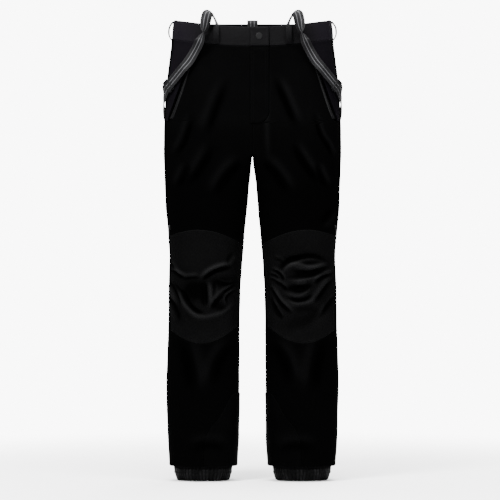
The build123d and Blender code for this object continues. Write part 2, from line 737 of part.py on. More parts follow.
nodes["brace_left"] = ribbon(brace_stations())
nodes["brace_right"] = mirrored(nodes["brace_left"])


def adjuster():
    """A slide adjuster: two bars in front of the strap, one behind it, and a rail at each end."""
    half_strap, room = strap_cloth / 2, adjuster_clearance
    reach, rail = strap_width / 2 + room, 2.2
    front, back = half_strap + room, -half_strap - room
    shape = block((-reach, -2, back - adjuster_bar), (reach, 2, back))
    for side in (-1, 1):
        ys = sorted((side * (adjuster_half_length - adjuster_bar), side * adjuster_half_length))
        shape += block((-reach, ys[0], front), (reach, ys[1], front + adjuster_bar))
        xs = sorted((side * reach, side * (reach + rail)))
        shape += block((xs[0], -adjuster_half_length, back - adjuster_bar),
                       (xs[1], adjuster_half_length, front + adjuster_bar))
    corners = shape.edges().filter_by(Axis.Z).filter_by(lambda edge: abs(edge.center().X) > reach + 1)
    return one(fillet(corners, 1.8))


nodes["brace_adjuster_left"] = one(adjuster_plane * adjuster())
nodes["brace_adjuster_right"] = mirrored(nodes["brace_adjuster_left"])


def back_station(drop, stand, face):
    """A point of the centre strap: how far below the band's top, how far outside its cloth, and its face."""
    level = rim_side - drop
    return (0, rows_at(level)["back"] + stand, level), face


inside = -(band_cloth + layer_gap + lining_cloth + 2 * anchor_clearance + 1.5)
nodes["brace_centre_strap"] = ribbon([
    back_station(46, inside, (0, 1, 0)), back_station(24, inside, (0, 1, 0)),
    back_station(2, inside, (0, 1, 0)), back_station(-6, inside + 3, (0, 1, 1)),
    back_station(-9, -1, (0, 0, 1)), back_station(-5, 3, (0, -1, 1)),
    back_station(6, centre_strap_stand, (0, -1, 0)), back_station(30, centre_strap_stand, (0, -1, 0))])


def make_yoke():
    """The wedge of backing cloth that joins the centre strap to the two braces."""
    plane = band_plane_at(0, back=True, stand=yoke_stand)
    outline = Polyline((-13, 20), (13, 20), (36, -16), (27, -28), (-27, -28), (-36, -16), close=True)
    plate = extrude(plane * Face(Wire(outline.edges())), amount=yoke_cloth, dir=plane.z_dir)
    return one(fillet(plate.edges().filter_by(Axis((0, 0, 0), plane.z_dir)), 3.0))


def anchor(x, back=False):
    """A stitched tab that holds a strap's end inside the waistband."""
    depth = band_cloth + layer_gap + lining_cloth + anchor_clearance
    plane = band_plane_at(x, back, -depth)
    return one(plane * Box(strap_width, 26, 1.5, align=(Align.CENTER, Align.CENTER, Align.MAX)))


nodes["brace_yoke"] = make_yoke()
anchors = [anchor(brace_x), anchor(0, back=True)]
nodes["brace_anchors"] = Compound([*anchors, mirrored(anchors[0])])


os.makedirs("parts", exist_ok=True)
for name, shape in nodes.items():
    export_step(shape, f"parts/{name}.step")
print(len(nodes), "nodes written")
for label, plane, rest, travel in (("fly", fly_zip_plane, fly_rest, fly_travel),
                                   ("pocket", pocket_plane, pocket_rest, pocket_travel),
                                   ("vent", vent_plane, vent_rest, vent_travel)):
    axis = plane.from_local_coords((0, rest, pull_axis_height))
    print(label, "slider", tuple(axis), "across", tuple(plane.x_dir), "up", tuple(plane.y_dir),
          "travel", travel)
fold = fly_plane.from_local_coords((fly_fold_x, 0, tab_stand + tab_cloth))
print("fly fold", tuple(fold), "up", tuple(fly_plane.y_dir))
print("adjuster", tuple(adjuster_point), "up", tuple(run_up), "travel", adjuster_travel)
print("knee", (rows_at(knee_z)["centre"], knee_axis_y, knee_z))
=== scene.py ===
import json
import math
import bpy
import bmesh
import numpy as np
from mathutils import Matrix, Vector


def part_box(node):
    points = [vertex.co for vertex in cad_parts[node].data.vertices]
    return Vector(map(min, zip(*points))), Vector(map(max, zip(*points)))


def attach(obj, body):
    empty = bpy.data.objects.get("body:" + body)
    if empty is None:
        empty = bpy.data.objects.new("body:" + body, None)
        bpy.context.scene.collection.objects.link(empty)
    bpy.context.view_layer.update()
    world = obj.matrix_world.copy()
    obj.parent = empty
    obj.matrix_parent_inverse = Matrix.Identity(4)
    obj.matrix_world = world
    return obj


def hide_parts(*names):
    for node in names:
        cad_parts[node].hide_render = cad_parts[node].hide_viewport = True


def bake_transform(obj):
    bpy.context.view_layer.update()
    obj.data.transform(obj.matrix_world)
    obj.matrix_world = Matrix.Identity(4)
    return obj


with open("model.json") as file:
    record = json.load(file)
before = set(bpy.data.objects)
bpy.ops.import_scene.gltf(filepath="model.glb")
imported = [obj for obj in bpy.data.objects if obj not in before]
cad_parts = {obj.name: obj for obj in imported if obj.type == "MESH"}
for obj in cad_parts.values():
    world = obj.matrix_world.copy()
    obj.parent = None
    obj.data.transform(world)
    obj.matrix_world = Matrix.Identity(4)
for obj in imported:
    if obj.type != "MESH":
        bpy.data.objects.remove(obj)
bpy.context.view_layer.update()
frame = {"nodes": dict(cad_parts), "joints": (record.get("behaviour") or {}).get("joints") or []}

# Mountain trousers with braces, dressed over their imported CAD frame. Metres, +Z up, front towards -Y,
# the wearer's left at +X. Every cloth piece is a sheet on one body form, worked out as whole arrays.

joints = {joint["name"]: joint for joint in frame["joints"]}
sides = {"left": 1, "right": -1}


# small helpers for arrays and meshes
# a step from 0 to 1 between low and high, with level ends
def ease(value, low, high):
    t = np.clip((np.asarray(value, float) - low) / (high - low), 0, 1)
    return t * t * (3 - 2 * t)


def unit(vectors):
    return vectors / np.maximum(np.linalg.norm(vectors, axis=-1, keepdims=True), 1e-12)


# a curve through all the rows of a list, with extra rows between them (Catmull-Rom)
def smoothRows(rows, steps):
    p = np.array(rows, float)
    p = np.vstack([2 * p[:1] - p[1:2], p, 2 * p[-1:] - p[-2:-1]])
    t = (np.arange(steps) / steps)[None, :, None]
    a, b, c, d = p[:-3, None], p[1:-2, None], p[2:-1, None], p[3:, None]
    curve = b + 0.5 * t * (c - a + t * (2 * a - 5 * b + 4 * c - d + t * (3 * (b - c) + d - a)))
    return np.vstack([curve.reshape(-1, p.shape[1]), p[-2:-1]])


# shares of a length from 0 to 1, closer together near both ends so that a rolled edge is smooth
def edgeSpaced(length, step, fine=(0, 0.0006, 0.0013, 0.0022, 0.0034, 0.0052)):
    near = np.array(fine) / length
    count = max(int(round((length - 2 * fine[-1]) / step)), 2)
    middle = np.linspace(near[-1], 1 - near[-1], count + 1)[1:-1]
    return np.concatenate([near, middle, 1 - near[::-1]])


# one mesh from grids: each is points (rows, columns, 3) with any values of the same shape: run and rise place the
# weave, edge is the distance to the nearest seam, along the way along it, and crease the depth of a crease, which
# the cloth's colour also turns into painted shade in valleys and painted highlight on ridges
gridDefaults = dict(run=0.0, rise=0.0, edge=0.02, along=0.0, crease=0.0)


def sheetMesh(name, grids, closeAcross=False, weld=0.0):
    points, faces, layers, start = [], [], {}, 0
    for grid in grids:
        rows, columns = grid["points"].shape[:2]
        index = start + np.arange(rows * columns).reshape(rows, columns)
        if closeAcross:
            index = np.hstack([index, index[:, :1]])
        quads = np.stack([index[:-1, :-1], index[:-1, 1:], index[1:, 1:], index[1:, :-1]], axis=-1).reshape(-1, 4)
        if grid.get("flip"):
            quads = quads[:, ::-1]
        points.append(grid["points"].reshape(-1, 3))
        faces.append(quads)
        for key, usual in gridDefaults.items():
            layers.setdefault(key, []).append(np.broadcast_to(grid.get(key, usual), (rows, columns)).reshape(-1))
        start += rows * columns
    points, faces = np.vstack(points), np.vstack(faces)
    mesh = bpy.data.meshes.new(name)
    mesh.from_pydata(points.tolist(), [], faces.tolist())
    run, rise = np.concatenate(layers["run"]), np.concatenate(layers["rise"])
    corner = np.zeros(len(mesh.loops), np.int32)
    mesh.loops.foreach_get("vertex_index", corner)
    cloth = mesh.uv_layers.new(name="cloth")
    cloth.data.foreach_set("uv", np.stack([run[corner], rise[corner]], axis=1).reshape(-1).astype(np.float32))
    seam = mesh.uv_layers.new(name="seam")
    edge, along = np.concatenate(layers["edge"]), np.concatenate(layers["along"])
    seam.data.foreach_set("uv", np.stack([edge[corner], along[corner]], axis=1).reshape(-1).astype(np.float32))
    crease = mesh.attributes.new("crease", "FLOAT", "POINT")
    crease.data.foreach_set("value", np.concatenate(layers["crease"]).astype(np.float32))
    mesh.shade_smooth()
    if weld > 0:
        work = bmesh.new()
        work.from_mesh(mesh)
        bmesh.ops.remove_doubles(work, verts=work.verts, dist=weld)
        work.to_mesh(mesh)
        work.free()
    mesh.update()
    piece = bpy.data.objects.new(name, mesh)
    bpy.context.scene.collection.objects.link(piece)
    return piece


# a cloth piece: its mesh, its thickness (inwards, or both ways with offset 0), its looks, its body and the CAD
# nodes that it stands for; with bends it is left in place and joins no body
def dress(name, grids, thickness, body, slot, look, *replaced, offset=-1.0, bends=None, closeAcross=False,
          weld=0.0):
    piece = sheetMesh(name, grids, closeAcross, weld)
    if thickness:
        solid = piece.modifiers.new("cloth thickness", "SOLIDIFY")
        solid.thickness, solid.offset, solid.use_rim = thickness, offset, True
    piece.data.materials.append(materials[look])
    if bends:
        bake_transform(piece)
    else:
        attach(piece, body)
    if replaced:
        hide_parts(*replaced)


# materials
class Nodes:
    # a thin hand on a node tree: add makes a node, math joins two values, mix blends colours
    def __init__(self, name):
        self.material = bpy.data.materials.new(name)
        self.material.use_nodes = True
        self.tree = self.material.node_tree
        self.shader = self.tree.nodes["Principled BSDF"]

    def add(self, kind, **values):
        node = self.tree.nodes.new(kind)
        for key, value in values.items():
            if hasattr(node, key):
                setattr(node, key, value)
            else:
                node.inputs[key.replace("_", " ")].default_value = value
        return node

    def link(self, output, target):
        self.tree.links.new(output, target)

    def math(self, operation, first, second=None, third=None, clamp=False):
        node = self.tree.nodes.new("ShaderNodeMath")
        node.operation = operation
        node.use_clamp = clamp
        for socket, value in zip(node.inputs, (first, second, third)):
            if isinstance(value, bpy.types.NodeSocket):
                self.link(value, socket)
            elif value is not None:
                socket.default_value = value
        return node.outputs[0]

    def mix(self, amount, low, high):
        node = self.tree.nodes.new("ShaderNodeMix")
        node.data_type = "RGBA"
        for socket, value in zip((node.inputs[0], node.inputs[6], node.inputs[7]), (amount, low, high)):
            if isinstance(value, bpy.types.NodeSocket):
                self.link(value, socket)
            elif isinstance(value, tuple):
                socket.default_value = (*value, 1.0)
            else:
                socket.default_value = value
        return node.outputs[2]

    def noise(self, vector, scale, detail=3.0, roughness=0.55):
        node = self.add("ShaderNodeTexNoise", Scale=scale, Detail=detail, Roughness=roughness)
        self.link(vector, node.inputs["Vector"])
        return node.outputs["Fac"]

    def bump(self, height, strength, distance, previous=None):
        node = self.add("ShaderNodeBump", Strength=strength, Distance=distance)
        self.link(height, node.inputs["Height"])
        if previous is not None:
            self.link(previous, node.inputs["Normal"])
        return node.outputs["Normal"]


# cloth: a base colour that drifts, a nap of fine noise or a plain weave of two crossing waves,
# and a row of stitches drawn where the seam map's first value is the stitch distance; painted shade darkens
# the seam's gutter and the creases' valleys, and painted highlight lightens the creases' ridges
def clothMaterial(name, look):
    n = Nodes(name)
    shader = n.shader
    place3d = n.add("ShaderNodeTexCoord").outputs["Object"]
    cloth = n.add("ShaderNodeUVMap", uv_map="cloth").outputs["UV"]
    seam = n.add("ShaderNodeSeparateXYZ")
    n.link(n.add("ShaderNodeUVMap", uv_map="seam").outputs["UV"], seam.inputs[0])
    drift = n.noise(place3d, 9.0, 4.0, 0.6)
    fleck = n.noise(place3d, look.get("fleckScale", 900.0), 2.0, 0.7)
    tone = n.mix(n.math("MULTIPLY_ADD", drift, 1.6, -0.3, clamp=True), look["dark"], look["light"])
    tone = n.mix(n.math("MULTIPLY", fleck, look.get("fleck", 0.3)), tone, look["fibreAndHighlight"])
    spot = n.add("ShaderNodeSeparateXYZ")
    n.link(place3d, spot.inputs[0])
    if "lowTone" in look:    # the legs are darker than the hips
        lower = n.math("MULTIPLY_ADD", spot.outputs[2], -5.0, -1.2, clamp=True)
        shade = tuple(value * look["lowTone"] for value in look["light"])
        tone = n.mix(n.math("MULTIPLY", lower, 0.75), tone, shade)
    if "sideTint" in look:
        toSide = n.math("MULTIPLY_ADD", n.math("ABSOLUTE", spot.outputs[0]), 14.0, -1.6, clamp=True)
        tone = n.mix(toSide, tone, look["sideTint"])
    threads = n.add("ShaderNodeSeparateXYZ")
    n.link(cloth, threads.inputs[0])
    turns = 2 * math.pi / look.get("thread", 0.0009)
    across = n.math("SINE", n.math("MULTIPLY", threads.outputs[0], turns))
    along = n.math("SINE", n.math("MULTIPLY", threads.outputs[1], turns))
    weave = n.math("MULTIPLY", across, along)
    nap = n.math("MULTIPLY_ADD", fleck, look.get("nap", 1.0), n.math("MULTIPLY", weave, look.get("weave", 0.0)))
    normal = n.bump(nap, look.get("napStrength", 0.35), look.get("napDepth", 0.0004))
    ripple = n.noise(place3d, look.get("rippleScale", 60.0), 3.0, 0.5)
    normal = n.bump(ripple, look.get("ripple", 0.25), 0.0012, normal)
    pitch = look.get("stitchPitch", 0.0028)
    phase = n.math("FRACT", n.math("DIVIDE", seam.outputs[1], pitch))
    dash = n.math("MULTIPLY", n.math("GREATER_THAN", phase, 0.16), n.math("LESS_THAN", phase, 0.84))
    rows = None
    for distance in look.get("stitchRows", (0.0022,)):
        off = n.math("ABSOLUTE", n.math("SUBTRACT", seam.outputs[0], distance))
        row = n.math("SUBTRACT", 1.0, n.math("DIVIDE", off, 0.00042), clamp=True)
        rows = row if rows is None else n.math("MAXIMUM", rows, row)
    stitch = n.math("MULTIPLY", rows, dash)
    # painted shade: the colour darkens towards the seam line, in the seam's gutter
    seamGutterShade = n.math("SUBTRACT", 1.0, n.math("DIVIDE", seam.outputs[0], 0.0011), clamp=True)
    tone = n.mix(n.math("MULTIPLY", stitch, look.get("stitchShow", 0.5)), tone, look["stitchTone"])
    tone = n.mix(n.math("MULTIPLY", seamGutterShade, 0.7), tone, (0.0008, 0.0008, 0.0009))
    pucker = n.math("SUBTRACT", stitch, n.math("MULTIPLY", rows, 0.6))
    normal = n.bump(pucker, 0.6, 0.0005, normal)
    # painted shade in crease valleys (towards near black) and painted highlight on crease ridges, from the crease
    # depth
    depth = n.add("ShaderNodeAttribute", attribute_name="crease").outputs["Fac"]
    creaseValleyShade = n.math("MULTIPLY", depth, -look.get("creaseShade", 0.45), clamp=True)
    creaseRidgeHighlight = n.math("MULTIPLY", depth, look.get("creaseHighlight", 0.25), clamp=True)
    tone = n.mix(creaseValleyShade, tone, (0.00002, 0.00002, 0.00002))
    tone = n.mix(creaseRidgeHighlight, tone, look["fibreAndHighlight"])
    n.link(tone, shader.inputs["Base Color"])
    n.link(normal, shader.inputs["Normal"])
    rough = n.math("MULTIPLY_ADD", fleck, -0.12, look["rough"] + 0.06, clamp=True)
    n.link(rough, shader.inputs["Roughness"])
    shader.inputs["Specular IOR Level"].default_value = look.get("specular", 0.25)
    return n.material


# fibreAndHighlight is the colour of the fine flecks and also of the painted highlight on crease ridges
clothLooks = {
    "softShell": dict(dark=(0.00018, 0.00018, 0.00019), light=(0.00060, 0.00060, 0.00063),
                      fibreAndHighlight=(0.0025, 0.0025, 0.0026), stitchTone=(0.0026, 0.0026, 0.0028), rough=0.9,
                      fleck=0.35, specular=0.005, lowTone=0.35),
    "hipCloth": dict(dark=(0.00104, 0.00088, 0.00123), light=(0.00247, 0.00208, 0.00299),
                     fibreAndHighlight=(0.00494, 0.00429, 0.00585),
                     stitchTone=(0.004, 0.004, 0.0045), rough=0.85, fleck=0.3, specular=0.01),
    "bandCloth": dict(sideTint=(0.0034, 0.0027, 0.0042), dark=(0.0013, 0.00125, 0.0014),
                      light=(0.0024, 0.0023, 0.0026), fibreAndHighlight=(0.0042, 0.0041, 0.0046),
                      stitchTone=(0.008, 0.008, 0.009), rough=0.75, fleck=0.2, weave=0.8, nap=0.3,
                      thread=0.0008, napStrength=0.25, specular=0.03, ripple=0.3, rippleScale=40.0,
                      stitchRows=(0.0020, 0.0062)),
    "wovenPatch": dict(dark=(0.00052, 0.00052, 0.00053), light=(0.0015, 0.0015, 0.00155),
                       fibreAndHighlight=(0.0056, 0.0056, 0.0058), stitchTone=(0.0036, 0.0036, 0.0038), rough=0.55,
                       fleck=0.12, weave=1.2, nap=0.25, thread=0.0011, napStrength=0.3, napDepth=0.0003,
                       specular=0.007, ripple=0.45, rippleScale=34.0, stitchRows=(0.0020, 0.0070),
                       creaseShade=0.28, creaseHighlight=0.13),
    "liningCloth": dict(dark=(0.0003, 0.0003, 0.00034), light=(0.0009, 0.0009, 0.0010),
                        fibreAndHighlight=(0.0025, 0.0025, 0.0028), stitchTone=(0.003, 0.003, 0.0033), rough=0.7,
                        weave=0.8, nap=0.3, specular=0.012),
    # the elastic's strong crease values paint shade into its gathers' valleys and highlight onto their ridges
    "elasticCloth": dict(dark=(0.00007, 0.00007, 0.00008), light=(0.00042, 0.00042, 0.00049),
                         fibreAndHighlight=(0.00595, 0.00595, 0.00616), stitchTone=(0.003, 0.003, 0.0033), rough=0.45,
                         weave=0.9, nap=0.3, thread=0.0012, specular=0.03, stitchRows=(0.003, 0.008, 0.013),
                         fleck=0.05, creaseShade=1.6, creaseHighlight=1.3),
}
clothLooks["guardPatch"] = dict(
    {key: value for key, value in clothLooks["wovenPatch"].items() if "crease" not in key},
    dark=(0.00018, 0.00018, 0.00019), light=(0.00055, 0.00055, 0.00058), fibreAndHighlight=(0.0022, 0.0022, 0.0023),
    stitchTone=(0.0016, 0.0016, 0.0017), fleck=0.15, specular=0.003)
materials = {name: clothMaterial(name, look) for name, look in clothLooks.items()}


# smooth hard finish with fine grain and worn lighter patches
def hardMaterial(name, look):
    n = Nodes(name)
    place3d = n.add("ShaderNodeTexCoord").outputs["Object"]
    grain = n.noise(place3d, look.get("grainScale", 1400.0), 2.0, 0.6)
    wear = n.noise(place3d, look.get("wearScale", 260.0), 5.0, 0.7)
    worn = n.math("MULTIPLY_ADD", wear, 4.0, -2.2, clamp=True)
    n.link(n.mix(n.math("MULTIPLY", worn, look.get("wear", 0.4)), look["base"], look["worn"]),
           n.shader.inputs["Base Color"])
    n.link(n.math("MULTIPLY_ADD", wear, 0.25, look["rough"] - 0.1, clamp=True), n.shader.inputs["Roughness"])
    n.link(n.bump(grain, look.get("grain", 0.15), 0.0002), n.shader.inputs["Normal"])
    n.shader.inputs["Metallic"].default_value = look.get("metal", 0.0)
    n.shader.inputs["Specular IOR Level"].default_value = look.get("specular", 0.5)
    return n.material


hardLooks = {
    "sliderMetal": dict(base=(0.035, 0.035, 0.036), worn=(0.12, 0.12, 0.122), rough=0.35, metal=0.7,
                        specular=0.3),
    "pullRubber": dict(base=(0.002, 0.002, 0.0023), worn=(0.006, 0.006, 0.0065), rough=0.6, specular=0.1),
    "snapMetal": dict(base=(0.003, 0.003, 0.0032), worn=(0.012, 0.012, 0.0115), rough=0.45, metal=0.1, wear=0.4,
                      specular=0.12),
    "adjusterPlastic": dict(base=(0.004, 0.004, 0.0045), worn=(0.012, 0.012, 0.013), rough=0.4, specular=0.2),
    "coilNylon": dict(base=(0.0030, 0.0030, 0.0032), worn=(0.006, 0.006, 0.0063), rough=0.5, wearScale=900.0,
                      specular=0.06),
    "zipFilm": dict(base=(0.0030, 0.0030, 0.0032), worn=(0.0060, 0.0060, 0.0063), rough=0.38, wearScale=90.0,
                    specular=0.06, grain=0.3, grainScale=2600.0),
}
materials.update({name: hardMaterial(name, look) for name, look in hardLooks.items()})


# striped stretch webbing: the cloth map's first value runs across from -0.5 to 0.5, its second along in metres
def webbingMaterial(name, look):
    n = Nodes(name)
    map2 = n.add("ShaderNodeSeparateXYZ")
    n.link(n.add("ShaderNodeUVMap", uv_map="cloth").outputs["UV"], map2.inputs[0])
    across, along = map2.outputs[0], map2.outputs[1]
    place3d = n.add("ShaderNodeTexCoord").outputs["Object"]
    fleck = n.noise(place3d, 1500.0, 2.0, 0.7)
    offStripe = n.math("ABSOLUTE", n.math("SUBTRACT", n.math("ABSOLUTE", across), look["stripeAt"]))
    stripe = n.math("SUBTRACT", 1.0, n.math("DIVIDE", offStripe, look["stripeHalf"]), clamp=True)
    stripe = n.math("MULTIPLY", stripe, 2.2, clamp=True)
    rim = n.math("MULTIPLY_ADD", n.math("ABSOLUTE", across), 26.0, -12.0, clamp=True)
    ribs = n.math("SINE", n.math("MULTIPLY", across, 2 * math.pi * look["ribs"]))
    picks = n.math("SINE", n.math("MULTIPLY", along, 2 * math.pi / look["pick"]))
    knit = n.math("MULTIPLY_ADD", n.math("MULTIPLY", ribs, picks), 0.5, n.math("MULTIPLY", ribs, 0.5))
    tone = n.mix(n.math("MULTIPLY_ADD", knit, 0.25, 0.4, clamp=True), look["dark"], look["light"])
    tone = n.mix(n.math("MULTIPLY", rim, 0.55), tone, look["rim"])
    broken = n.math("MULTIPLY_ADD", fleck, 0.5, 0.6, clamp=True)
    tone = n.mix(n.math("MULTIPLY", stripe, broken), tone, look["stripe"])
    n.link(tone, n.shader.inputs["Base Color"])
    normal = n.bump(knit, 0.5, 0.0003)
    n.link(n.bump(fleck, 0.3, 0.0002, normal), n.shader.inputs["Normal"])
    n.shader.inputs["Roughness"].default_value = 0.7
    n.shader.inputs["Specular IOR Level"].default_value = 0.06
    return n.material


materials["webbing"] = webbingMaterial("webbing", dict(
    stripeAt=0.165, stripeHalf=0.040, ribs=17.0, pick=0.0014, dark=(0.0032, 0.0032, 0.0035),
    light=(0.0098, 0.0098, 0.0104),
    rim=(0.018, 0.018, 0.019), stripe=(0.075, 0.075, 0.079)))
print("materials ready:", len(materials))


# the body form
# One leg and half of the seat, at the wearer's left. Each row is an outline at one level: a flat front and back
# that turn round the side as a squared ellipse, and an inner side of its own squareness.
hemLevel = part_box("shin_panel_left")[0][2]
crotchLevel = -0.341
sideSeamDepth = -0.032
bodyForm = dict(
    roundness=2.25,
    smoothing=0.022,
    # level, outer edge, front depth, back depth, middle of the leg
    rows=[(0.060, 0.2012, 0.0741, 0.0700, 0.0635), (0.027, 0.2042, 0.0773, 0.0760, 0.0660),
          (-0.051, 0.2112, 0.0850, 0.0900, 0.0720), (-0.109, 0.2185, 0.0907, 0.1060, 0.0790),
          (-0.1705, 0.2261, 0.0967, 0.1200, 0.0880), (-0.269, 0.2300, 0.1064, 0.1240, 0.1020),
          (-0.341, 0.2310, 0.1000, 0.1100, 0.1160), (-0.4086, 0.2280, 0.0950, 0.0980, 0.1180),
          (-0.4762, 0.2260, 0.0890, 0.0880, 0.1200), (-0.5337, 0.2200, 0.0840, 0.0800, 0.1200),
          (-0.6013, 0.2150, 0.0800, 0.0720, 0.1202), (-0.679, 0.2180, 0.0780, 0.0680, 0.1245),
          (-0.8046, 0.2200, 0.0670, 0.0740, 0.1268), (-0.9301, 0.2250, 0.0610, 0.0800, 0.1295),
          (-1.0743, 0.2210, 0.0600, 0.0740, 0.1285), (-1.144, 0.2160, 0.0580, 0.0700, 0.1285),
          (-1.160, 0.2150, 0.0575, 0.0690, 0.1285)],
    # level, inner edge and squareness of the inner side, below the crotch
    inner=[(-0.341, 0.0010, 40.0), (-0.352, 0.0018, 14.0), (-0.375, 0.0045, 7.0), (-0.4086, 0.0085, 4.2),
           (-0.4762, 0.0140, 3.0), (-0.5337, 0.0200, 2.6), (-0.6013, 0.0255, 2.4), (-0.679, 0.0310, 2.4),
           (-0.8046, 0.0335, 2.4), (-0.9301, 0.0340, 2.4), (-1.0743, 0.0360, 2.4), (-1.144, 0.0410, 2.4),
           (-1.160, 0.0420, 2.4)],
    innerEdge=-0.0002,     # above the crotch both sides reach a hair past the middle plane,
    innerSquare=400.0,     # and their inner sides are all but flat
    top=0.055, low=-1.158, levelStep=0.002,
    outlineSteps=1500,
    share=72,        # columns between two landmarks
)


# the table's four values at any level, smoothed by a moving average that is run twice
def rowValues(levels):
    table = np.array(bodyForm["rows"])[::-1]
    fine = np.arange(-1.2, 0.1, 0.001)
    width = int(bodyForm["smoothing"] / 0.001) | 1
    values = []
    for column in range(1, 5):
        line = np.interp(fine, table[:, 0], table[:, column])
        for _ in range(2):
            line = np.convolve(np.pad(line, width // 2, mode="edge"), np.ones(width) / width, mode="valid")
        values.append(np.interp(levels, fine, line))
    return values


# a point on the outer side of the form: turn -90 is the front, 0 the side and 90 the back
def outerPoint(level, turn, stand=0.0):
    outer, front, back, middle = rowValues(np.atleast_1d(level))
    power = bodyForm["roundness"]
    across = math.cos(math.radians(turn)) ** (2 / power)
    along = math.copysign(abs(math.sin(math.radians(turn))) ** (2 / power), turn)
    depth = (back if turn > 0 else front)[0]
    reach = (outer - middle)[0]
    out = np.array([across ** (power - 1) / reach, math.copysign(abs(along) ** (power - 1), along) / depth, 0])
    out = out / np.linalg.norm(out)
    return np.array([middle[0] + reach * across, along * depth, level]) + out * stand, out


# a quarter of a squared ellipse from its side to its end, where across to the power plus along to the power is 1:
# evenly spaced in along and then in across, with the corner halfway
def squareQuarter(power, half=750):
    corner = 2 ** (-1 / power)
    rise, fall = np.linspace(0, corner, half), np.linspace(corner, 0, half)[1:]
    across = np.concatenate([(1 - rise ** power) ** (1 / power), fall])
    along = np.concatenate([rise, (1 - fall ** power) ** (1 / power)])
    return across, along


# The form as a table of points: rows go down in level, columns go round through six landmarks: 0 the front's
# inner corner, 1 the leg's front, 2 the side seam, 3 its back, 4 the back's inner corner, 5 the inseam. On the
# outer side x is the leg's middle plus the reach times cosine to the power 2 / roundness, and y is the depth times
# sine to that power. The inner side is a squared ellipse of its own.
def makeForm():
    levels = np.arange(bodyForm["top"], bodyForm["low"], -bodyForm["levelStep"])
    outer, front, back, middle = rowValues(levels)
    table = np.array(bodyForm["inner"])[::-1]
    innerEdge = np.where(levels > crotchLevel, bodyForm["innerEdge"], np.interp(levels, table[:, 0], table[:, 1]))
    square = np.where(levels > crotchLevel, bodyForm["innerSquare"], np.interp(levels, table[:, 0], table[:, 2]))
    share = bodyForm["share"]
    points = np.zeros((len(levels), 6 * share + 1, 3))
    lengths = np.zeros((len(levels), 6))
    fineTurn = np.radians(np.linspace(0, 90, bodyForm["outlineSteps"]))
    power = bodyForm["roundness"]
    for row in range(len(levels)):
        reach, hollow = outer[row] - middle[row], middle[row] - innerEdge[row]
        c, s = np.cos(fineTurn) ** (2 / power), np.sin(fineTurn) ** (2 / power)
        ci, si = squareQuarter(square[row])
        outFront = np.stack([middle[row] + reach * c, -front[row] * s], axis=1)[::-1]
        outBack = np.stack([middle[row] + reach * c, back[row] * s], axis=1)
        inBack = np.stack([middle[row] - hollow * ci, back[row] * si], axis=1)[::-1]
        inFront = np.stack([middle[row] - hollow * ci, -front[row] * si], axis=1)
        loop = np.vstack([outFront, outBack[1:], inBack[1:], inFront[1:]])
        run = np.concatenate([[0], np.cumsum(np.linalg.norm(np.diff(loop, axis=0), axis=1))])
        size, inner, corner = len(fineTurn), len(ci), len(ci) // 2
        sideSeam = np.interp(sideSeamDepth, outFront[:, 1], run[:size])
        backRun, cornerRun = run[2 * size - 2], run[2 * size - 2 + inner - 1 - corner]
        inseam = np.interp(-sideSeamDepth, -inFront[:, 1], run[2 * size + inner - 3:])
        frontCorner = run[2 * size + inner - 3 + corner]
        marks = [frontCorner - run[-1], 0, sideSeam, backRun, cornerRun, inseam, frontCorner]
        stops = np.concatenate([np.linspace(a, b, share, endpoint=False) for a, b in zip(marks, marks[1:])])
        stops = np.append(stops, marks[-1])
        lengths[row] = np.diff(marks)
        stops = np.where(stops < 0, stops + run[-1], stops)
        points[row, :, 0] = np.interp(stops, run, loop[:, 0])
        points[row, :, 1] = np.interp(stops, run, loop[:, 1])
        points[row, :, 2] = levels[row]
    return levels, points, lengths


formLevels, formPoints, formLengths = makeForm()
formRuns = np.zeros(formPoints.shape[:2])
formRuns[:, 1:] = np.cumsum(np.linalg.norm(np.diff(formPoints, axis=1), axis=2), axis=1)
formRuns -= formRuns[:, 2 * bodyForm["share"]][:, None]


def formNormals(points):
    loop = np.concatenate([points[:, -2:-1], points, points[:, 1:2]], axis=1)
    around = loop[:, 2:] - loop[:, :-2]
    down = np.gradient(points, axis=0)
    return unit(np.cross(down, around))


outward = formNormals(formPoints)
# above the crotch the two sides meet in the middle plane, so the cloth's edges there don't move sideways
outward[np.ix_(formLevels > crotchLevel, [0, 4 * bodyForm["share"], 6 * bodyForm["share"]], [0])] = 0
outward = unit(outward)
print("body form:", formPoints.shape)


# creases in the cloth
# A crease is a path in the front view. Cloth sinks along it and swells beside it: the height falls off as a bell
# across the path and tapers at both ends. lean pushes the swell to one side of the path.
def addCrease(field, grid, path, width, height, lean=0.0, ends=0.35, facing=-1):
    line = smoothRows(path, 8)
    reach = creaseShape["reach"] * width
    low, high = line.min(axis=0) - reach, line.max(axis=0) + reach
    x, z = grid[..., 0], grid[..., 2]
    near = (x > low[0]) & (x < high[0]) & (z > low[1]) & (z < high[1]) & (grid[..., 1] * facing > -0.02)
    if not near.any():
        return
    spot = np.stack([x[near], z[near]], axis=1)
    start, step = line[:-1], np.diff(line, axis=0)
    share = np.einsum("pki,ki->pk", spot[:, None] - start[None], step) / np.maximum((step ** 2).sum(axis=1), 1e-12)
    share = np.clip(share, 0, 1)
    offset = spot[:, None] - (start[None] + share[..., None] * step[None])
    distance = np.linalg.norm(offset, axis=2)
    best = distance.argmin(axis=1)
    pick = np.arange(len(spot))
    along = (best + share[pick, best]) / len(step)
    normal = np.stack([-step[best, 1], step[best, 0]], axis=1)
    side = np.sign((offset[pick, best] * normal).sum(axis=1))
    d = distance[pick, best] * side
    taper = ease(along, 0, ends) * ease(1 - along, 0, ends)
    bell = np.exp(-(d / width) ** 2)
    beside, wide = creaseShape["swellAt"] * width, creaseShape["swellWidth"] * width
    swell = lean * np.exp(-((d - beside) / wide) ** 2) + max(-lean, 0) * np.exp(-((d + beside) / wide) ** 2)
    front = ease(facing * outward[near][:, 1], 0.0, creaseShape["facing"])
    field[near] += creaseShape["gain"] * height * taper * front * (-bell + np.maximum(swell, 0))


# the swell beside a crease lies swellAt widths away; cloth that faces away from the view by more than facing has none
creaseShape = dict(gain=1.5, reach=4, swellAt=1.7, swellWidth=1.1, facing=0.35)
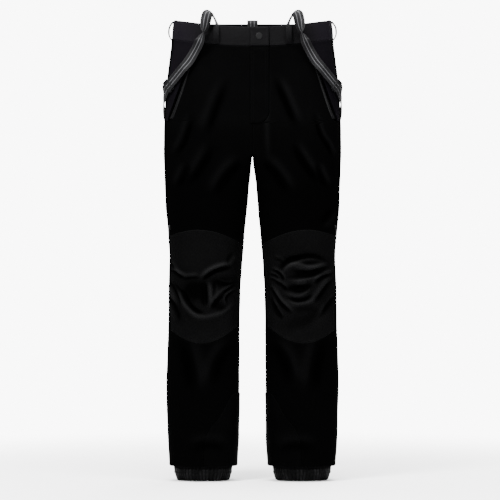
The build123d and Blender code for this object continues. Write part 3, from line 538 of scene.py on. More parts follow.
# paths are (x, z) in millimetres; each entry is path, width, depth and lean
creases = {
    "left": [
        ([(66, -648), (74, -630), (92, -614), (118, -604), (146, -600), (176, -604), (198, -612)], 6, 4.6, -1.0),
        ([(78, -632), (98, -622), (122, -622), (146, -628), (172, -624), (200, -616)], 4.5, -2.6, 0.0),
        ([(92, -634), (116, -640), (148, -642), (184, -632), (206, -622)], 6, 3.6, 0.7),
        ([(84, -662), (112, -664), (138, -660), (170, -652), (214, -635)], 4, -3.4, 0.0),
        ([(97, -676), (116, -684), (142, -678), (152, -668)], 8, 3.8, 0.5),
        ([(76, -692), (98, -700), (122, -702), (142, -690), (157, -674)], 4, -2.6, 0.0),
        ([(84, -704), (112, -714), (140, -710), (156, -696)], 5, 4.2, -0.8),
        ([(158, -676), (170, -660), (190, -650), (212, -642)], 4.5, 3.2, 0.8),
        ([(40, -672), (54, -694), (70, -718), (90, -738), (106, -752)], 4.5, 4.0, 0.9),
        ([(44, -700), (60, -738), (80, -768)], 5, 2.8, 0.8),
        ([(52, -664), (76, -676), (88, -690)], 4, 3.0, 0.6),
        ([(214, -652), (192, -676), (172, -704), (156, -726)], 6, 3.2, -0.8),
        ([(216, -696), (196, -726), (170, -766)], 6, 2.6, -0.7),
        ([(44, -634), (62, -640), (76, -652), (80, -668)], 3, 3.4, 0.8),
        ([(40, -646), (58, -650), (68, -660)], 2.6, 2.6, 0.7),
        ([(40, -658), (56, -662), (72, -674)], 2.6, 2.6, 0.7),
        ([(50, -606), (70, -612), (84, -622)], 4, 1.6, 0.6),
        ([(96, -752), (126, -734), (160, -744), (120, -790)], 12, 1.4, 0.4),
        ([(155, -223), (173, -285), (196, -322), (204, -353)], 5, 2.4, 0.8),
        ([(160, -358), (176, -396), (191, -428)], 7, 2.2, 0.7),
        ([(53, -135), (86, -210), (116, -280)], 9, 2.0, 0.7),
        ([(97, -306), (134, -366), (175, -421)], 9, 2.2, 0.7),
        ([(38, -90), (36, -190), (38, -300), (42, -372)], 7, -1.4, 0.0),
        ([(20, -352), (60, -392), (98, -450)], 11, 2.0, 0.6),
        ([(40, -820), (80, -870), (96, -940)], 14, 1.8, 0.5),
        ([(190, -800), (168, -880), (160, -960)], 16, 1.8, -0.5),
        ([(60, -1104), (110, -1090), (170, -1100)], 12, 1.2, 0.5),
        ([(206, -470), (190, -500), (170, -520)], 8, 1.6, 0.6),
    ],
    "right": [
        ([(-216, -634), (-200, -642), (-186, -652), (-166, -657)], 4, 4.6, 0.9),
        ([(-46, -628), (-70, -630), (-96, -638), (-118, -652), (-131, -666)], 5, 5.0, -1.0),
        ([(-186, -662), (-158, -656), (-132, -656)], 4, 2.6, 0.8),
        ([(-127, -660), (-123, -696), (-122, -738)], 8, 5.2, 0.8),
        ([(-184, -680), (-176, -704), (-160, -728), (-140, -744), (-118, -748)], 5, 4.6, -0.9),
        ([(-168, -746), (-130, -757), (-92, -750), (-66, -738), (-44, -712)], 5, -3.0, 0.0),
        ([(-110, -744), (-96, -720), (-84, -706), (-66, -700)], 5, 3.2, 0.7),
        ([(-100, -664), (-98, -690), (-104, -716)], 4, 1.8, 0.6),
        ([(-98, -662), (-70, -672), (-40, -670)], 3.4, 2.6, 0.7),
        ([(-90, -704), (-66, -688), (-38, -672)], 3.4, 3.0, 0.7),
        ([(-62, -728), (-68, -708), (-54, -694), (-38, -684)], 3, 3.0, 0.7),
        ([(-216, -660), (-200, -690), (-182, -728)], 5, 3.4, -0.8),
        ([(-206, -662), (-190, -686), (-172, -706)], 4, 2.2, -0.7),
        ([(-216, -700), (-202, -734), (-186, -770)], 5, 2.8, -0.7),
        ([(-48, -590), (-60, -606), (-66, -626)], 5, 1.8, 0.6),
        ([(-214, -612), (-206, -626), (-196, -640)], 4, 2.2, 0.6),
        ([(-150, -230), (-172, -300), (-200, -350)], 8, 1.8, -0.6),
        ([(-160, -360), (-192, -430)], 9, 1.8, -0.6),
        ([(-60, -140), (-96, -230), (-120, -300)], 11, 1.5, -0.6),
        ([(-96, -310), (-130, -372), (-172, -430)], 11, 1.8, -0.6),
        ([(-20, -352), (-64, -396), (-100, -456)], 12, 2.0, -0.6),
        ([(-40, -820), (-84, -872), (-100, -944)], 14, 1.6, -0.5),
        ([(-190, -800), (-166, -884), (-158, -960)], 16, 1.8, 0.5),
        ([(-60, -1100), (-112, -1088), (-172, -1102)], 12, 1.2, -0.5),
    ],
}
# hollows where the cloth falls in between folds, also painted darker as shade through the crease depth: middle x and
# z, half sizes, turn in degrees and depth
hollows = {
    "left": [(140, -612, 52, 9, -4, 3.6), (140, -650, 46, 8, 6, 2.6), (112, -684, 30, 9, 0, 3.0),
             (66, -742, 20, 12, -50, 1.6), (190, -720, 30, 14, 50, 1.6), (120, -770, 40, 18, 20, 1.2)],
    "right": [(-150, -690, 30, 26, 0, 3.4), (-80, -668, 34, 14, 8, 2.6), (-90, -728, 26, 12, -30, 2.2),
              (-196, -744, 14, 30, 20, 1.4)],
}
# creases on the back, the same for both sides apart from their mirror
backCreases = [
    ([(40, -640), (110, -652), (200, -636)], 9, 2.6, 0.7), ([(44, -668), (120, -676), (206, -664)], 8, 2.4, 0.6),
    ([(44, -700), (116, -704), (200, -694)], 9, 2.2, 0.6), ([(30, -360), (90, -372), (170, -352)], 14, 2.0, 0.6),
    ([(60, -404), (120, -410), (200, -386)], 16, 1.8, 0.6), ([(60, -150), (110, -220), (190, -250)], 18, 1.4, 0.5),
    ([(50, -860), (100, -900), (190, -880)], 18, 1.4, 0.5),
    ([(60, -1000), (120, -1030), (200, -1010)], 18, 1.2, 0.5),
]


waveHeight = 0.0006


def makeCloth(side):
    sign = sides[side]
    grid = formPoints * np.array([sign, 1, 1])
    field = np.zeros(grid.shape[:2])
    for path, width, height, lean in creases[side]:
        addCrease(field, grid, np.array(path) / 1000, width / 1000, height / 1000, lean)
    facingFront = ease(-outward[..., 1], 0.0, creaseShape["facing"])
    for x, z, wide, tall, turn, height in hollows[side]:
        c, d = math.cos(math.radians(turn)), math.sin(math.radians(turn))
        a, b = grid[..., 0] * 1000 - x, grid[..., 2] * 1000 - z
        away = ((a * c + b * d) / wide) ** 2 + ((b * c - a * d) / tall) ** 2
        field -= creaseShape["gain"] * height / 1000 * np.exp(-away ** 1.5) * facingFront
    for path, width, height, lean in backCreases:
        route = np.array(path) / 1000 * np.array([sign, 1])
        addCrease(field, grid, route, width / 1000, height / 1000, lean * sign, facing=1)
    # low waves over the whole cloth: sines across and up, with lengths in millimetres, that die out at the waist
    # and in the middle of the front
    x, y, z = grid[..., 0] * 1000, grid[..., 1] * 1000, grid[..., 2] * 1000
    waves = np.sin(x / 31 + 1.7 * np.sin(z / 83)) * np.sin(z / 47 + 0.9 * sign + 1.3 * np.sin(y / 39))
    waves += 0.5 * np.sin(x / 13 + z / 29 + sign) * np.sin(z / 19 - y / 17)
    quiet = ease(-formLevels, 0.07, 0.2)[:, None]
    middle = 1 - 0.85 * (ease(0.07 - np.abs(grid[..., 0]), 0, 0.03) * ease(grid[..., 2], -0.33, -0.25))
    moved = grid + outward * np.array([sign, 1, 1]) * (field + waves * waveHeight * quiet * middle)[..., None]
    return moved, field * 1000


cloth, creaseDepth = {}, {}
for side in sides:
    cloth[side], creaseDepth[side] = makeCloth(side)
print("creases worked into both legs")


# values of a table at (around, level): around wraps after the sixth landmark
def lookUp(table, around, level):
    share = bodyForm["share"]
    column = np.mod(around, 6.0) * share
    row = np.clip((formLevels[0] - level) / bodyForm["levelStep"], 0, len(formLevels) - 1.001)
    r, c = np.floor(row).astype(int), np.minimum(np.floor(column).astype(int), 6 * share - 1)
    a, b = row - r, column - c
    if table.ndim == 3:
        a, b = a[..., None], b[..., None]
    top = table[r, c] * (1 - b) + table[r, c + 1] * b
    low = table[r + 1, c] * (1 - b) + table[r + 1, c + 1] * b
    return top * (1 - a) + low * a


def onCloth(side, around, level, stand=0.0):
    around, level = np.broadcast_arrays(np.asarray(around, float), np.asarray(level, float))
    point = lookUp(cloth[side], around, level)
    out = unit(lookUp(outward, around, level)) * np.array([sides[side], 1, 1])
    return point + out * np.asarray(stand)[..., None] if np.ndim(stand) else point + out * stand


# the landmark value where the form crosses x, between two landmarks, for each level
def aroundAt(x, level, low, high):
    x, level = np.broadcast_arrays(np.asarray(x, float), np.asarray(level, float))
    tries = np.linspace(low, high, 500)
    result = np.zeros(level.shape)
    for spot in np.ndindex(level.shape):
        line = lookUp(formPoints, tries, np.full(tries.shape, level[spot]))[:, 0]
        order = line if line[-1] > line[0] else -line
        result[spot] = np.interp(x[spot] if line[-1] > line[0] else -x[spot], order, tries)
    return result


def curveOf(function, low, high, count=160):
    inputs = np.linspace(low, high, count)
    outputs = function(inputs)
    return lambda value: np.interp(value, inputs, outputs)


# zips, found from their CAD nodes
# middle, across, up the track and out of the cloth: the longest spread across the track is the tape's width
zipSink, zipMiddleReach = 0.00035, 0.1


def zipFrame(node, jointName):
    mesh = frame["nodes"][node].data
    points = np.zeros(len(mesh.vertices) * 3)
    mesh.vertices.foreach_get("co", points)
    points = points.reshape(-1, 3)
    up = np.array(joints[jointName]["axis"], float)
    up = up / np.linalg.norm(up) * (1 if up[2] > 0 else -1)
    flat = points - points.mean(axis=0)
    flat = flat - np.outer(flat @ up, up)
    across = np.linalg.eigh(flat.T @ flat)[1][:, -1]
    out = np.cross(across, up)
    tall, wide = points @ up, points @ across
    middle = across * (wide.max() + wide.min()) / 2 + up * (tall.max() + tall.min()) / 2
    # out has to point away from the body's middle
    if (out @ np.array([middle[0], -0.05 if abs(middle[0]) < zipMiddleReach else middle[1], 0])) < 0:
        across, out = -across, -out
    low = (points @ out).min() + zipSink
    return dict(middle=middle + out * low, across=across, up=up, out=out, length=tall.max() - tall.min())


pocketZip = zipFrame("pocket_zip_left", "pocket_zip_run_left")
ventZip = zipFrame("vent_zip_left", "vent_zip_run_left")
slotHalf = 0.0056    # half of the slot that each side zip lies in


def zipEnds(zipper, depth):
    half = zipper["up"] * zipper["length"] / 2
    lift = zipper["out"] * depth
    return zipper["middle"] + half + lift, zipper["middle"] - half + lift


pocketHigh, pocketLow = zipEnds(pocketZip, 0.006)
ventHigh, ventLow = zipEnds(ventZip, 0.003)
pocketLine = lambda z: np.interp(z, [pocketLow[2], pocketHigh[2]], [pocketLow[0], pocketHigh[0]]) + (
    np.maximum(z - pocketHigh[2], 0) * (pocketHigh[0] - pocketLow[0]) / (pocketHigh[2] - pocketLow[2]))
slotShift = slotHalf * abs(pocketZip["across"][0])


# cloth panels
# the waist's rim is an arc of a circle in the front view, lowest in the middle
rim = dict(front=-0.011, side=0.011, halfWidth=0.205, bandHeight=0.050)
rimRadius = (rim["halfWidth"] ** 2 + (rim["side"] - rim["front"]) ** 2) / (2 * (rim["side"] - rim["front"]))
rimX = np.linspace(0, rim["halfWidth"], 60)
rimZ = rim["front"] + rimRadius - np.sqrt(rimRadius ** 2 - rimX ** 2)
rimLevel = lambda x: np.interp(np.abs(x), rimX, rimZ)
fly = dict(edge=-0.006, fold=0.042, length=0.200, corner=0.030, slope=0.098, depth=0.080)
fly["bottom"] = rim["front"] - rim["bandHeight"] - fly["length"] * 0.995
# the knee patch's upper and lower edges in the front view, as (x, level)
knee = dict(top=[(20, -570), (52, -554), (95, -538), (140, -532), (180, -537), (222, -549)],
            bottom=[(20, -768), (44, -786), (70, -806), (98, -820), (129, -826), (162, -821), (192, -806),
                    (222, -786)])
panelStep, panelRounds = 0.0034, 4


def kneeEdge(points, level):
    line = smoothRows(points, 8) / 1000
    formX = lambda u: lookUp(formPoints, u, np.full(u.shape, level))[:, 0]
    return curveOf(lambda u: np.interp(formX(u), line[:, 0], line[:, 1]), -1, 2)


kneeTopAt, kneeLowAt = kneeEdge(knee["top"], -0.55), kneeEdge(knee["bottom"], -0.80)
bandLowFront = curveOf(lambda u: rimLevel(lookUp(formPoints, u, np.full(u.shape, -0.05))[:, 0]) - rim["bandHeight"],
                       0, 2)
bandLowBack = rim["side"] - rim["bandHeight"]


# a panel on the form: left and right are landmark values at a level, low and high are levels at a landmark value.
# acrossSize and upSize are rough sizes that set how many columns and rows there are.
# A point is the creased form's point plus outward times its stand, less a bell-shaped dip at the seam and plus a
# low bell beside it. Every point knows its distance to the nearest seam.
seamRoll = dict(dipWidth=0.0013, puff=0.0004, puffAt=0.0040, puffWidth=0.0028)


def panelGrid(side, left, right, low, high, acrossSize, upSize, step=panelStep, stand=0.0, seams="lrbt",
              dip=0.0009):
    s = edgeSpaced(acrossSize, step)[None, :]
    t = edgeSpaced(upSize, step)[:, None]
    middleAround = left(np.array([-0.3])) * 0.5 + right(np.array([-0.3])) * 0.5
    level = low(middleAround) + (high(middleAround) - low(middleAround)) * (t + 0 * s)
    for _ in range(panelRounds):    # each round settles the level and the way round on each other
        around = left(level) + (right(level) - left(level)) * s
        level = low(around) + (high(around) - low(around)) * t
    run = lookUp(formRuns, around, level) - np.where(around < 0, lookUp(loopLength, around, level), 0)
    width = np.abs(right(level) - left(level)) * lookUp(segmentLength, around, level)
    height = high(around) - low(around)
    gaps = {"l": s * width, "r": (1 - s) * width, "b": t * height, "t": (1 - t) * height}
    edge = np.full(level.shape, 0.05)
    along = np.zeros(level.shape)
    for key in seams:
        nearer = gaps[key] < edge
        along = np.where(nearer, level if key in "lr" else s * width + 0 * level, along)
        edge = np.where(nearer, gaps[key], edge)
    puff = np.exp(-((edge - seamRoll["puffAt"]) / seamRoll["puffWidth"]) ** 2)
    roll = -dip * np.exp(-(edge / seamRoll["dipWidth"]) ** 2) + seamRoll["puff"] * puff
    points = onCloth(side, around, level, stand + roll)
    crease = lookUp(creaseDepth[side], around, level)
    return dict(points=points, run=run, rise=level, edge=edge, along=along, crease=crease, flip=sides[side] < 0)


segmentLength = np.repeat(formLengths, bodyForm["share"], axis=1)
segmentLength = np.hstack([segmentLength, segmentLength[:, -1:]])
loopLength = np.repeat(formLengths.sum(axis=1)[:, None], formRuns.shape[1], axis=1)


def ventGap(level):
    return slotHalf * ease(level, ventLow[2] - 0.004, ventLow[2] - 0.002) * (
        1 - ease(level, ventHigh[2] + 0.002, ventHigh[2] + 0.004)) + 0.0002


def sideSeam(sign):
    # the side seam as a landmark value, pulled back on both sides of the vent's slot
    def at(level):
        level = np.asarray(level, float)
        return 2.0 + sign * ventGap(level) / lookUp(segmentLength, np.full(level.shape, 2.0 + sign * 0.01), level)
    return at


pocketFrontAt = curveOf(lambda z: aroundAt(pocketLine(z) - slotShift, z, 0.3, 2.2), -0.256, -0.02)
pocketHipAt = curveOf(lambda z: aroundAt(pocketLine(z) + slotShift, z, 0.3, 2.3), -0.256, -0.02)
hipBottom = -0.249
middleOfLeg = lambda z: np.interp(z, [-0.269, -0.1705, -0.109, -0.051, 0.027], [0.102, 0.088, 0.079, 0.072, 0.066])


def frontRight(level):
    blendIn = ease(level, hipBottom - 0.0050, hipBottom - 0.0018)
    seam = sideSeam(-1)(level)
    return seam + (np.minimum(pocketFrontAt(level), seam) - seam) * blendIn


def flyEdge(level):
    # the front's opening under the flap, with its round lower corner
    up = np.clip(level - fly["bottom"], 0, fly["corner"])
    x = fly["fold"] + 0.0004 - fly["corner"]
    x = x + np.sqrt(np.maximum(fly["corner"] ** 2 - (fly["corner"] - up) ** 2, 0))
    x = x * ease(level, fly["bottom"] - 0.0008, fly["bottom"] + 0.0004)
    return x / middleOfLeg(level)


constant = lambda value: lambda other: np.full(np.shape(other), float(value))


# turned edges beside the fly zip: strips from the panel's edge in and down to the tape. x runs evenly from start
# to end, and y is the leaning front plane plus a depth that eases from start to end.
def flyTurn(xStart, xEnd, depthStart, depthEnd, flip):
    t = np.linspace(0, 1, 60)[:, None]
    s = np.linspace(0, 1, 9)[None, :]
    z = fly["bottom"] + 0.004 + t * (rim["front"] - rim["bandHeight"] - 0.002 - fly["bottom"] - 0.004) + 0 * s
    x = xStart + (xEnd - xStart) * s + 0 * t
    y = -fly["depth"] + fly["slope"] * z + depthStart + (depthEnd - depthStart) * ease(s, 0, 1)
    return dict(points=np.stack([x, y, z], axis=-1), run=x, rise=z, flip=flip)


# where the panels behind the knee begin and end, and how far the panels tuck under their neighbours
kneeBackLevels = (-0.799, -0.559)
tuck = dict(hipBottom=0.0024, seatTop=0.0012, hipBack=0.0005, cloth=0.0014, weld=2e-5)


def makeSidePanels(side):
    def leg(part, node, grids, slot="soft_shell", look="softShell", weld=0.0):
        dress(f"{part}Cloth_{side}", grids, tuck["cloth"], "trousers", slot, look, f"{node}_{side}",
              bends=f"lower_leg_{side}", weld=weld)

    crotchCut = constant(crotchLevel)
    backLow, backTop = map(constant, kneeBackLevels)
    frontLeft = flyEdge if side == "left" else constant(0.0)
    turned = (0.0424, 0.0215, 0.0004, 0.0050, False) if side == "left" else (-0.0001, 0.0062, 0.0002, 0.0050, True)
    upper = panelGrid(side, frontLeft, frontRight, crotchCut, bandLowFront, 0.25, 0.28, seams="lrt")
    lower = panelGrid(side, constant(-1.0), sideSeam(-1), kneeTopAt, crotchCut, 0.33, 0.21, seams="lrb")
    leg("frontPanel", "front_panel", [upper, lower, flyTurn(*turned)], weld=tuck["weld"])
    hip = panelGrid(side, pocketHipAt, constant(2.0 - tuck["hipBack"]), constant(hipBottom - tuck["hipBottom"]),
                    bandLowFront, 0.07, 0.19, step=0.003)
    leg("hipPanel", "hip_panel", [hip], look="hipCloth")
    seatTop = panelGrid(side, sideSeam(1), constant(4.0), crotchCut, constant(bandLowBack + tuck["seatTop"]),
                        0.26, 0.30, seams="lrt")
    seatLow = panelGrid(side, sideSeam(1), constant(5.0), backTop, crotchCut, 0.33, 0.22, seams="lrb")
    leg("seatPanel", "seat_panel", [seatTop, seatLow], weld=tuck["weld"])
    kneeFront = panelGrid(side, constant(-1.0), constant(2.0), kneeLowAt, kneeTopAt, 0.31, 0.27, step=0.0022,
                          stand=0.0007, dip=0.0012)
    leg("kneePanel", "knee_panel", [kneeFront], "woven_patch", "wovenPatch")
    leg("kneeBackPanel", "knee_back_panel", [panelGrid(side, constant(2.0), constant(5.0), backLow, backTop,
                                                       0.26, 0.24)])
    leg("shinPanel", "shin_panel", [panelGrid(side, constant(-1.0), constant(2.0), constant(hemLevel), kneeLowAt,
                                              0.31, 0.33)])
    leg("calfPanel", "calf_panel", [panelGrid(side, constant(2.0), constant(5.0), constant(hemLevel), backLow,
                                              0.27, 0.345)])


# a laminated band beside the pocket zip, on the front panel and a little proud of it: it starts a small gap
# from the panel's edge and is narrower at the top
pocketBand = dict(width=0.0095, high=-0.118, low=-0.246, length=0.13, gap=0.0004, taper=0.45, stand=0.0005,
                  dip=0.0004, cloth=0.0004, step=0.0015)


def makePocketBand(side):
    def edgeOf(away):
        def at(level):
            level = np.asarray(level, float)
            along = pocketFrontAt(level)
            return along - away(level) / lookUp(segmentLength, np.minimum(along, 1.999), level)
        return at

    low, high, gap = pocketBand["low"], pocketBand["high"], pocketBand["gap"]
    wide = lambda level: gap + pocketBand["width"] * (1 - pocketBand["taper"] * ease(level, low, high))
    grid = panelGrid(side, edgeOf(wide), edgeOf(lambda level: gap), constant(low), constant(high),
                     pocketBand["width"], pocketBand["length"], step=pocketBand["step"], stand=pocketBand["stand"],
                     dip=pocketBand["dip"])
    dress(f"pocketBand_{side}", [grid], pocketBand["cloth"], "trousers", "zip_tape", "zipFilm")


for side in sides:
    makeSidePanels(side)
    makePocketBand(side)
print("cloth panels made")


# waistband, its lining and the fly
# a strip round the waist: from x start on the front, round the wearer's left, back and right sides, to x end.
# A point is the form's point plus outward times a sum: a low arch over the height, less a bell at both edges,
# plus a sine wave along the run.
waist = dict(columns=(260, 300, 40), roll=0.0007, rollWidth=0.0012, bulge=0.0008, wave=0.0005, waveRun=0.021,
             waveDrift=0.047)


def waistStrip(startX, endX, stand, topDrop=0.0, lowRise=0.0, rows=34):
    t = edgeSpaced(rim["bandHeight"] - topDrop - lowRise, (rim["bandHeight"] - topDrop - lowRise) / rows)[:, None]

    def part(side, low, high, count):
        around = np.linspace(low, high, count)[None, :]
        top = np.where(around < 2, rimLevel(lookUp(formPoints, around, 0 * around)[..., 0]), rim["side"])
        level = top - rim["bandHeight"] + lowRise + (rim["bandHeight"] - topDrop - lowRise) * t
        around = around + 0 * level
        points = onCloth(side, around, level, stand)
        run = lookUp(formRuns, around, level)
        edge = np.minimum(t, 1 - t) * rim["bandHeight"] + 0 * run
        return [points, run * sides[side], level + 0 * run, edge]

    first = float(aroundAt(np.array([startX]), np.array([-0.03]), 0, 1.5)[0])
    last = float(aroundAt(np.array([max(endX, 0.0)]), np.array([-0.03]), 0, 1.5)[0])
    leftCount, rightCount, endCount = waist["columns"]
    parts = [part("left", first, 4, leftCount), [a[:, 1:] for a in part("right", 4, 0, rightCount)]]
    if endX > 0:
        parts.append([a[:, 1:] for a in part("left", 0, last, endCount)])
    points, run, level, edge = [np.concatenate(arrays, axis=1) for arrays in zip(*parts)]
    roll = -waist["roll"] * np.exp(-(edge / waist["rollWidth"]) ** 2)
    bulge = waist["bulge"] * np.sin(np.pi * np.broadcast_to(t, edge.shape))
    drift = 1.7 * np.sin(run / waist["waveDrift"])
    wave = waist["wave"] * np.sin(run / waist["waveRun"] + drift) * np.sin(np.pi * t)
    middle = np.stack([0 * run, 0 * run + 0.01, level], axis=-1)
    out = unit((points - middle) * np.array([1, 1, 0]))
    return dict(points=points + out * (roll + bulge + wave)[..., None], run=run, rise=level, edge=edge, along=run)


dress("waistbandCloth", [waistStrip(0.0423, 0.038, 0.0)], 0.002, "trousers", "band_cloth", "bandCloth", "waistband")
dress("waistbandLiningCloth", [waistStrip(0.0452, 0.0, -0.0027, 0.0015, 0.0015, 24)], 0.001, "trousers", "lining",
      "liningCloth", "waistband_lining")


# a flat piece on the leaning front plane, between x limits that may follow the height. y is the plane's y less
# the stand, a puff that grows as the root of the distance to the edge, a bell at the edge and a small sine wave.
plate = dict(roll=0.0008, rollWidth=0.0011, puffReach=0.008, wave=0.0005, waveRise=0.011, waveSlant=40,
             waveFade=0.012)


def flyPlate(lowX, highX, lowLevel, highLevel, stand, seams="lrbt", crown=0.0006):
    t = edgeSpaced(highLevel - lowLevel, 0.0022)[:, None]
    z = lowLevel + (highLevel - lowLevel) * t
    right = highX(z) if callable(highX) else np.full(z.shape, highX)
    s = edgeSpaced(0.048, 0.002)[None, :]
    x = lowX + (right - lowX) * s
    z = z + 0 * x
    gaps = {"l": x - lowX, "r": right - x, "b": z - lowLevel, "t": highLevel - z}
    edge = np.full(x.shape, 0.05)
    along = np.zeros(x.shape)
    for key in seams:
        nearer = gaps[key] < edge
        along = np.where(nearer, z if key in "lr" else x, along)
        edge = np.where(nearer, gaps[key], edge)
    puff = crown * np.clip(edge / plate["puffReach"], 0, 1) ** 0.5
    puff = puff - plate["roll"] * np.exp(-(edge / plate["rollWidth"]) ** 2)
    wave = plate["wave"] * np.sin(z / plate["waveRise"] + plate["waveSlant"] * x) * ease(edge, 0, plate["waveFade"])
    y = -fly["depth"] + fly["slope"] * z - stand - puff - wave
    return dict(points=np.stack([x, y, z], axis=-1), run=x, rise=z, edge=edge, along=along)


def flapRight(z):
    up = np.clip(z - fly["bottom"], 0, fly["corner"])
    return fly["fold"] - fly["corner"] + np.sqrt(fly["corner"] ** 2 - (fly["corner"] - up) ** 2) - 0.0002


tab = dict(low=rim["front"] - 0.0498, high=rim["front"] - 0.0004, stand=0.0042, flapHigh=rim["front"] - 0.0503,
           flapStand=0.0026)
dress("waistTabCloth", [flyPlate(fly["edge"], fly["fold"], tab["low"], tab["high"], tab["stand"])], 0.0017,
      "fly_front", "band_cloth", "bandCloth", "waist_tab")
materials["flyCloth"] = clothMaterial("flyCloth", dict(clothLooks["softShell"], stitchRows=(0.0024, 0.0080),
                                                       stitchShow=0.8))
dress("flyFlapCloth", [flyPlate(fly["edge"], flapRight, fly["bottom"], tab["flapHigh"], tab["flapStand"])], 0.0014,
      "fly_front", "soft_shell", "flyCloth", "fly_flap")

# the shield behind the zip: a profile in (x, depth) that turns forward at its edge, carried up the front
shield = dict(profile=[(34, 9.6), (20, 9.6), (0, 9.6), (-8, 9.6), (-11.2, 8.9), (-11.6, 6.5), (-11.6, 2.2)])
profile = smoothRows(shield["profile"], 6) / 1000
shieldZ = np.linspace(fly["bottom"], rim["front"] - 0.0515, 70)[:, None]
shieldX = np.broadcast_to(profile[:, 0], (70, len(profile)))
shieldY = -fly["depth"] + fly["slope"] * shieldZ + profile[:, 1] + 0.0003 * np.sin(shieldZ / 0.012)
shieldPoints = np.stack([shieldX, shieldY, shieldZ + 0 * shieldX], axis=-1)
dress("flyShieldCloth", [dict(points=shieldPoints, run=shieldX, rise=shieldPoints[..., 2])], 0.0009,
      "trousers", "soft_shell", "softShell", "fly_shield", offset=0.0)
print("waistband and fly made")


# ankle guards, hem facings, gaiters and elastic hems
hem = dict(lift=0.0003, height=0.0247, stand=-0.0020)
guard = dict(top=-0.956, boundary=[(41, -956), (55, -962), (84, -1013), (101, -1034), (108, -1042), (122, -1072),
                                   (125, -1110), (125, -1144)], stand=0.0014)
gaiterShape = dict(
    # level, half-width, half-depth, middle x, middle y, height of the gathers
    rows=[(-0.9602, 0.0885, 0.0640, 0.1294, 0.0092, 0.0002), (-1.040, 0.0830, 0.0585, 0.1290, 0.0075, 0.0006),
          (-1.114, 0.0780, 0.0520, 0.1285, 0.0060, 0.0012), (-1.140, 0.0762, 0.0508, 0.1285, 0.0060, 0.0016),
          (-1.152, 0.0750, 0.0500, 0.1285, 0.0060, 0.0018)],
    gathers=46)
elasticShape = dict(
    rows=[(-1.1515, 0.0752, 0.0502, 0.1285, 0.0060, 0.0020), (-1.158, 0.0745, 0.0497, 0.1285, 0.0060, 0.0012),
          (-1.163, 0.0742, 0.0495, 0.1285, 0.0060, 0.0022), (-1.168, 0.0722, 0.0484, 0.1285, 0.0060, 0.0013),
          (-1.174, 0.0700, 0.0468, 0.1285, 0.0060, 0.0024), (-1.1815, 0.0664, 0.0444, 0.1285, 0.0060, 0.0034)],
    gathers=52)


# a gathered tube: an ellipse at each level whose radius swells and sinks in sharp-bottomed pleats round it
def gatheredTube(side, shape, steps, seed):
    rows = smoothRows(shape["rows"], steps)
    turn = np.linspace(0, 2 * np.pi, 720, endpoint=False)[None, :]
    level, wide, deep, midX, midY, tall = [rows[:, k:k + 1] for k in range(6)]
    phase = shape["gathers"] * turn + 1.6 * np.sin(3 * turn + seed) + 0.9 * np.sin(7 * turn + 2 * seed)
    phase = phase + 0.5 * np.sin(level / 0.013 + 5 * turn)
    pleat = np.abs(np.sin(phase / 2)) ** 0.7 - 0.6 + 0.35 * np.sin(turn * 11 + seed + level / 0.02)
    lift = tall * pleat
    x = (midX + (wide + lift) * np.cos(turn)) * sides[side]
    y = midY + (deep + lift) * np.sin(turn)
    z = level + 0.25 * tall * np.sin(phase) + 0 * turn
    run = turn * 0.07 + 0 * z
    gap = np.minimum(level - rows[-1, 0], rows[0, 0] - level) + 0 * turn
    # crease here is a mask for painted shade in the pleats' valleys and painted highlight on their ridges, stronger
    # in some places round the tube
    uneven = 0.5 + 0.5 * np.sin(13 * turn + 3 * seed + level / 0.006)
    crease = (pleat - 0.18) * (0.35 + uneven) * np.clip(tall / 0.0016, 0, 1.2)
    return dict(points=np.stack([x, y, z], axis=-1), run=run, rise=z, edge=gap, along=run, crease=crease,
                flip=side == "left")


guardLine = smoothRows(np.array(guard["boundary"]) / 1000, 6)[::-1]
guardX = lambda z: np.interp(z, guardLine[:, 1], guardLine[:, 0])
guardFront = curveOf(lambda z: aroundAt(guardX(z), z, -0.999, 1.0), -1.144, -0.9562)
guardBack = curveOf(lambda z: aroundAt(guardX(z), z, 3.0, 5.0) - 6, -1.144, -0.9562)
for side in sides:
    grid = panelGrid(side, guardBack, guardFront, constant(hemLevel + 0.0002), constant(guard["top"]), 0.24, 0.188,
                     step=0.0026, stand=guard["stand"] + 0.0006)
    shank = f"lower_leg_{side}"
    dress(f"ankleGuardCloth_{side}", [grid], 0.0012, shank, "woven_patch", "guardPatch", f"ankle_guard_{side}")
    t = np.linspace(0, 1, 10)[:, None]
    around = np.linspace(0, 6, 360, endpoint=False)[None, :]
    points = onCloth(side, around + 0 * t, hemLevel + hem["lift"] + hem["height"] * t + 0 * around, hem["stand"])
    facing = dict(points=points, run=lookUp(formRuns, around + 0 * t, hemLevel + 0 * t * around),
                  rise=points[..., 2], flip=side == "right")
    dress(f"hemFacingCloth_{side}", [facing], 0.001, shank, "lining", "liningCloth", f"hem_facing_{side}",
          closeAcross=True)
    dress(f"gaiterCloth_{side}", [gatheredTube(side, gaiterShape, 12, 1.0)], 0.0008, shank, "lining", "liningCloth",
          f"gaiter_{side}", closeAcross=True)
    dress(f"gaiterElasticCloth_{side}", [gatheredTube(side, elasticShape, 8, 2.2)], 0.0028, shank, "elastic",
          "elasticCloth", f"gaiter_elastic_{side}", closeAcross=True)
print("ankles and gaiters made")


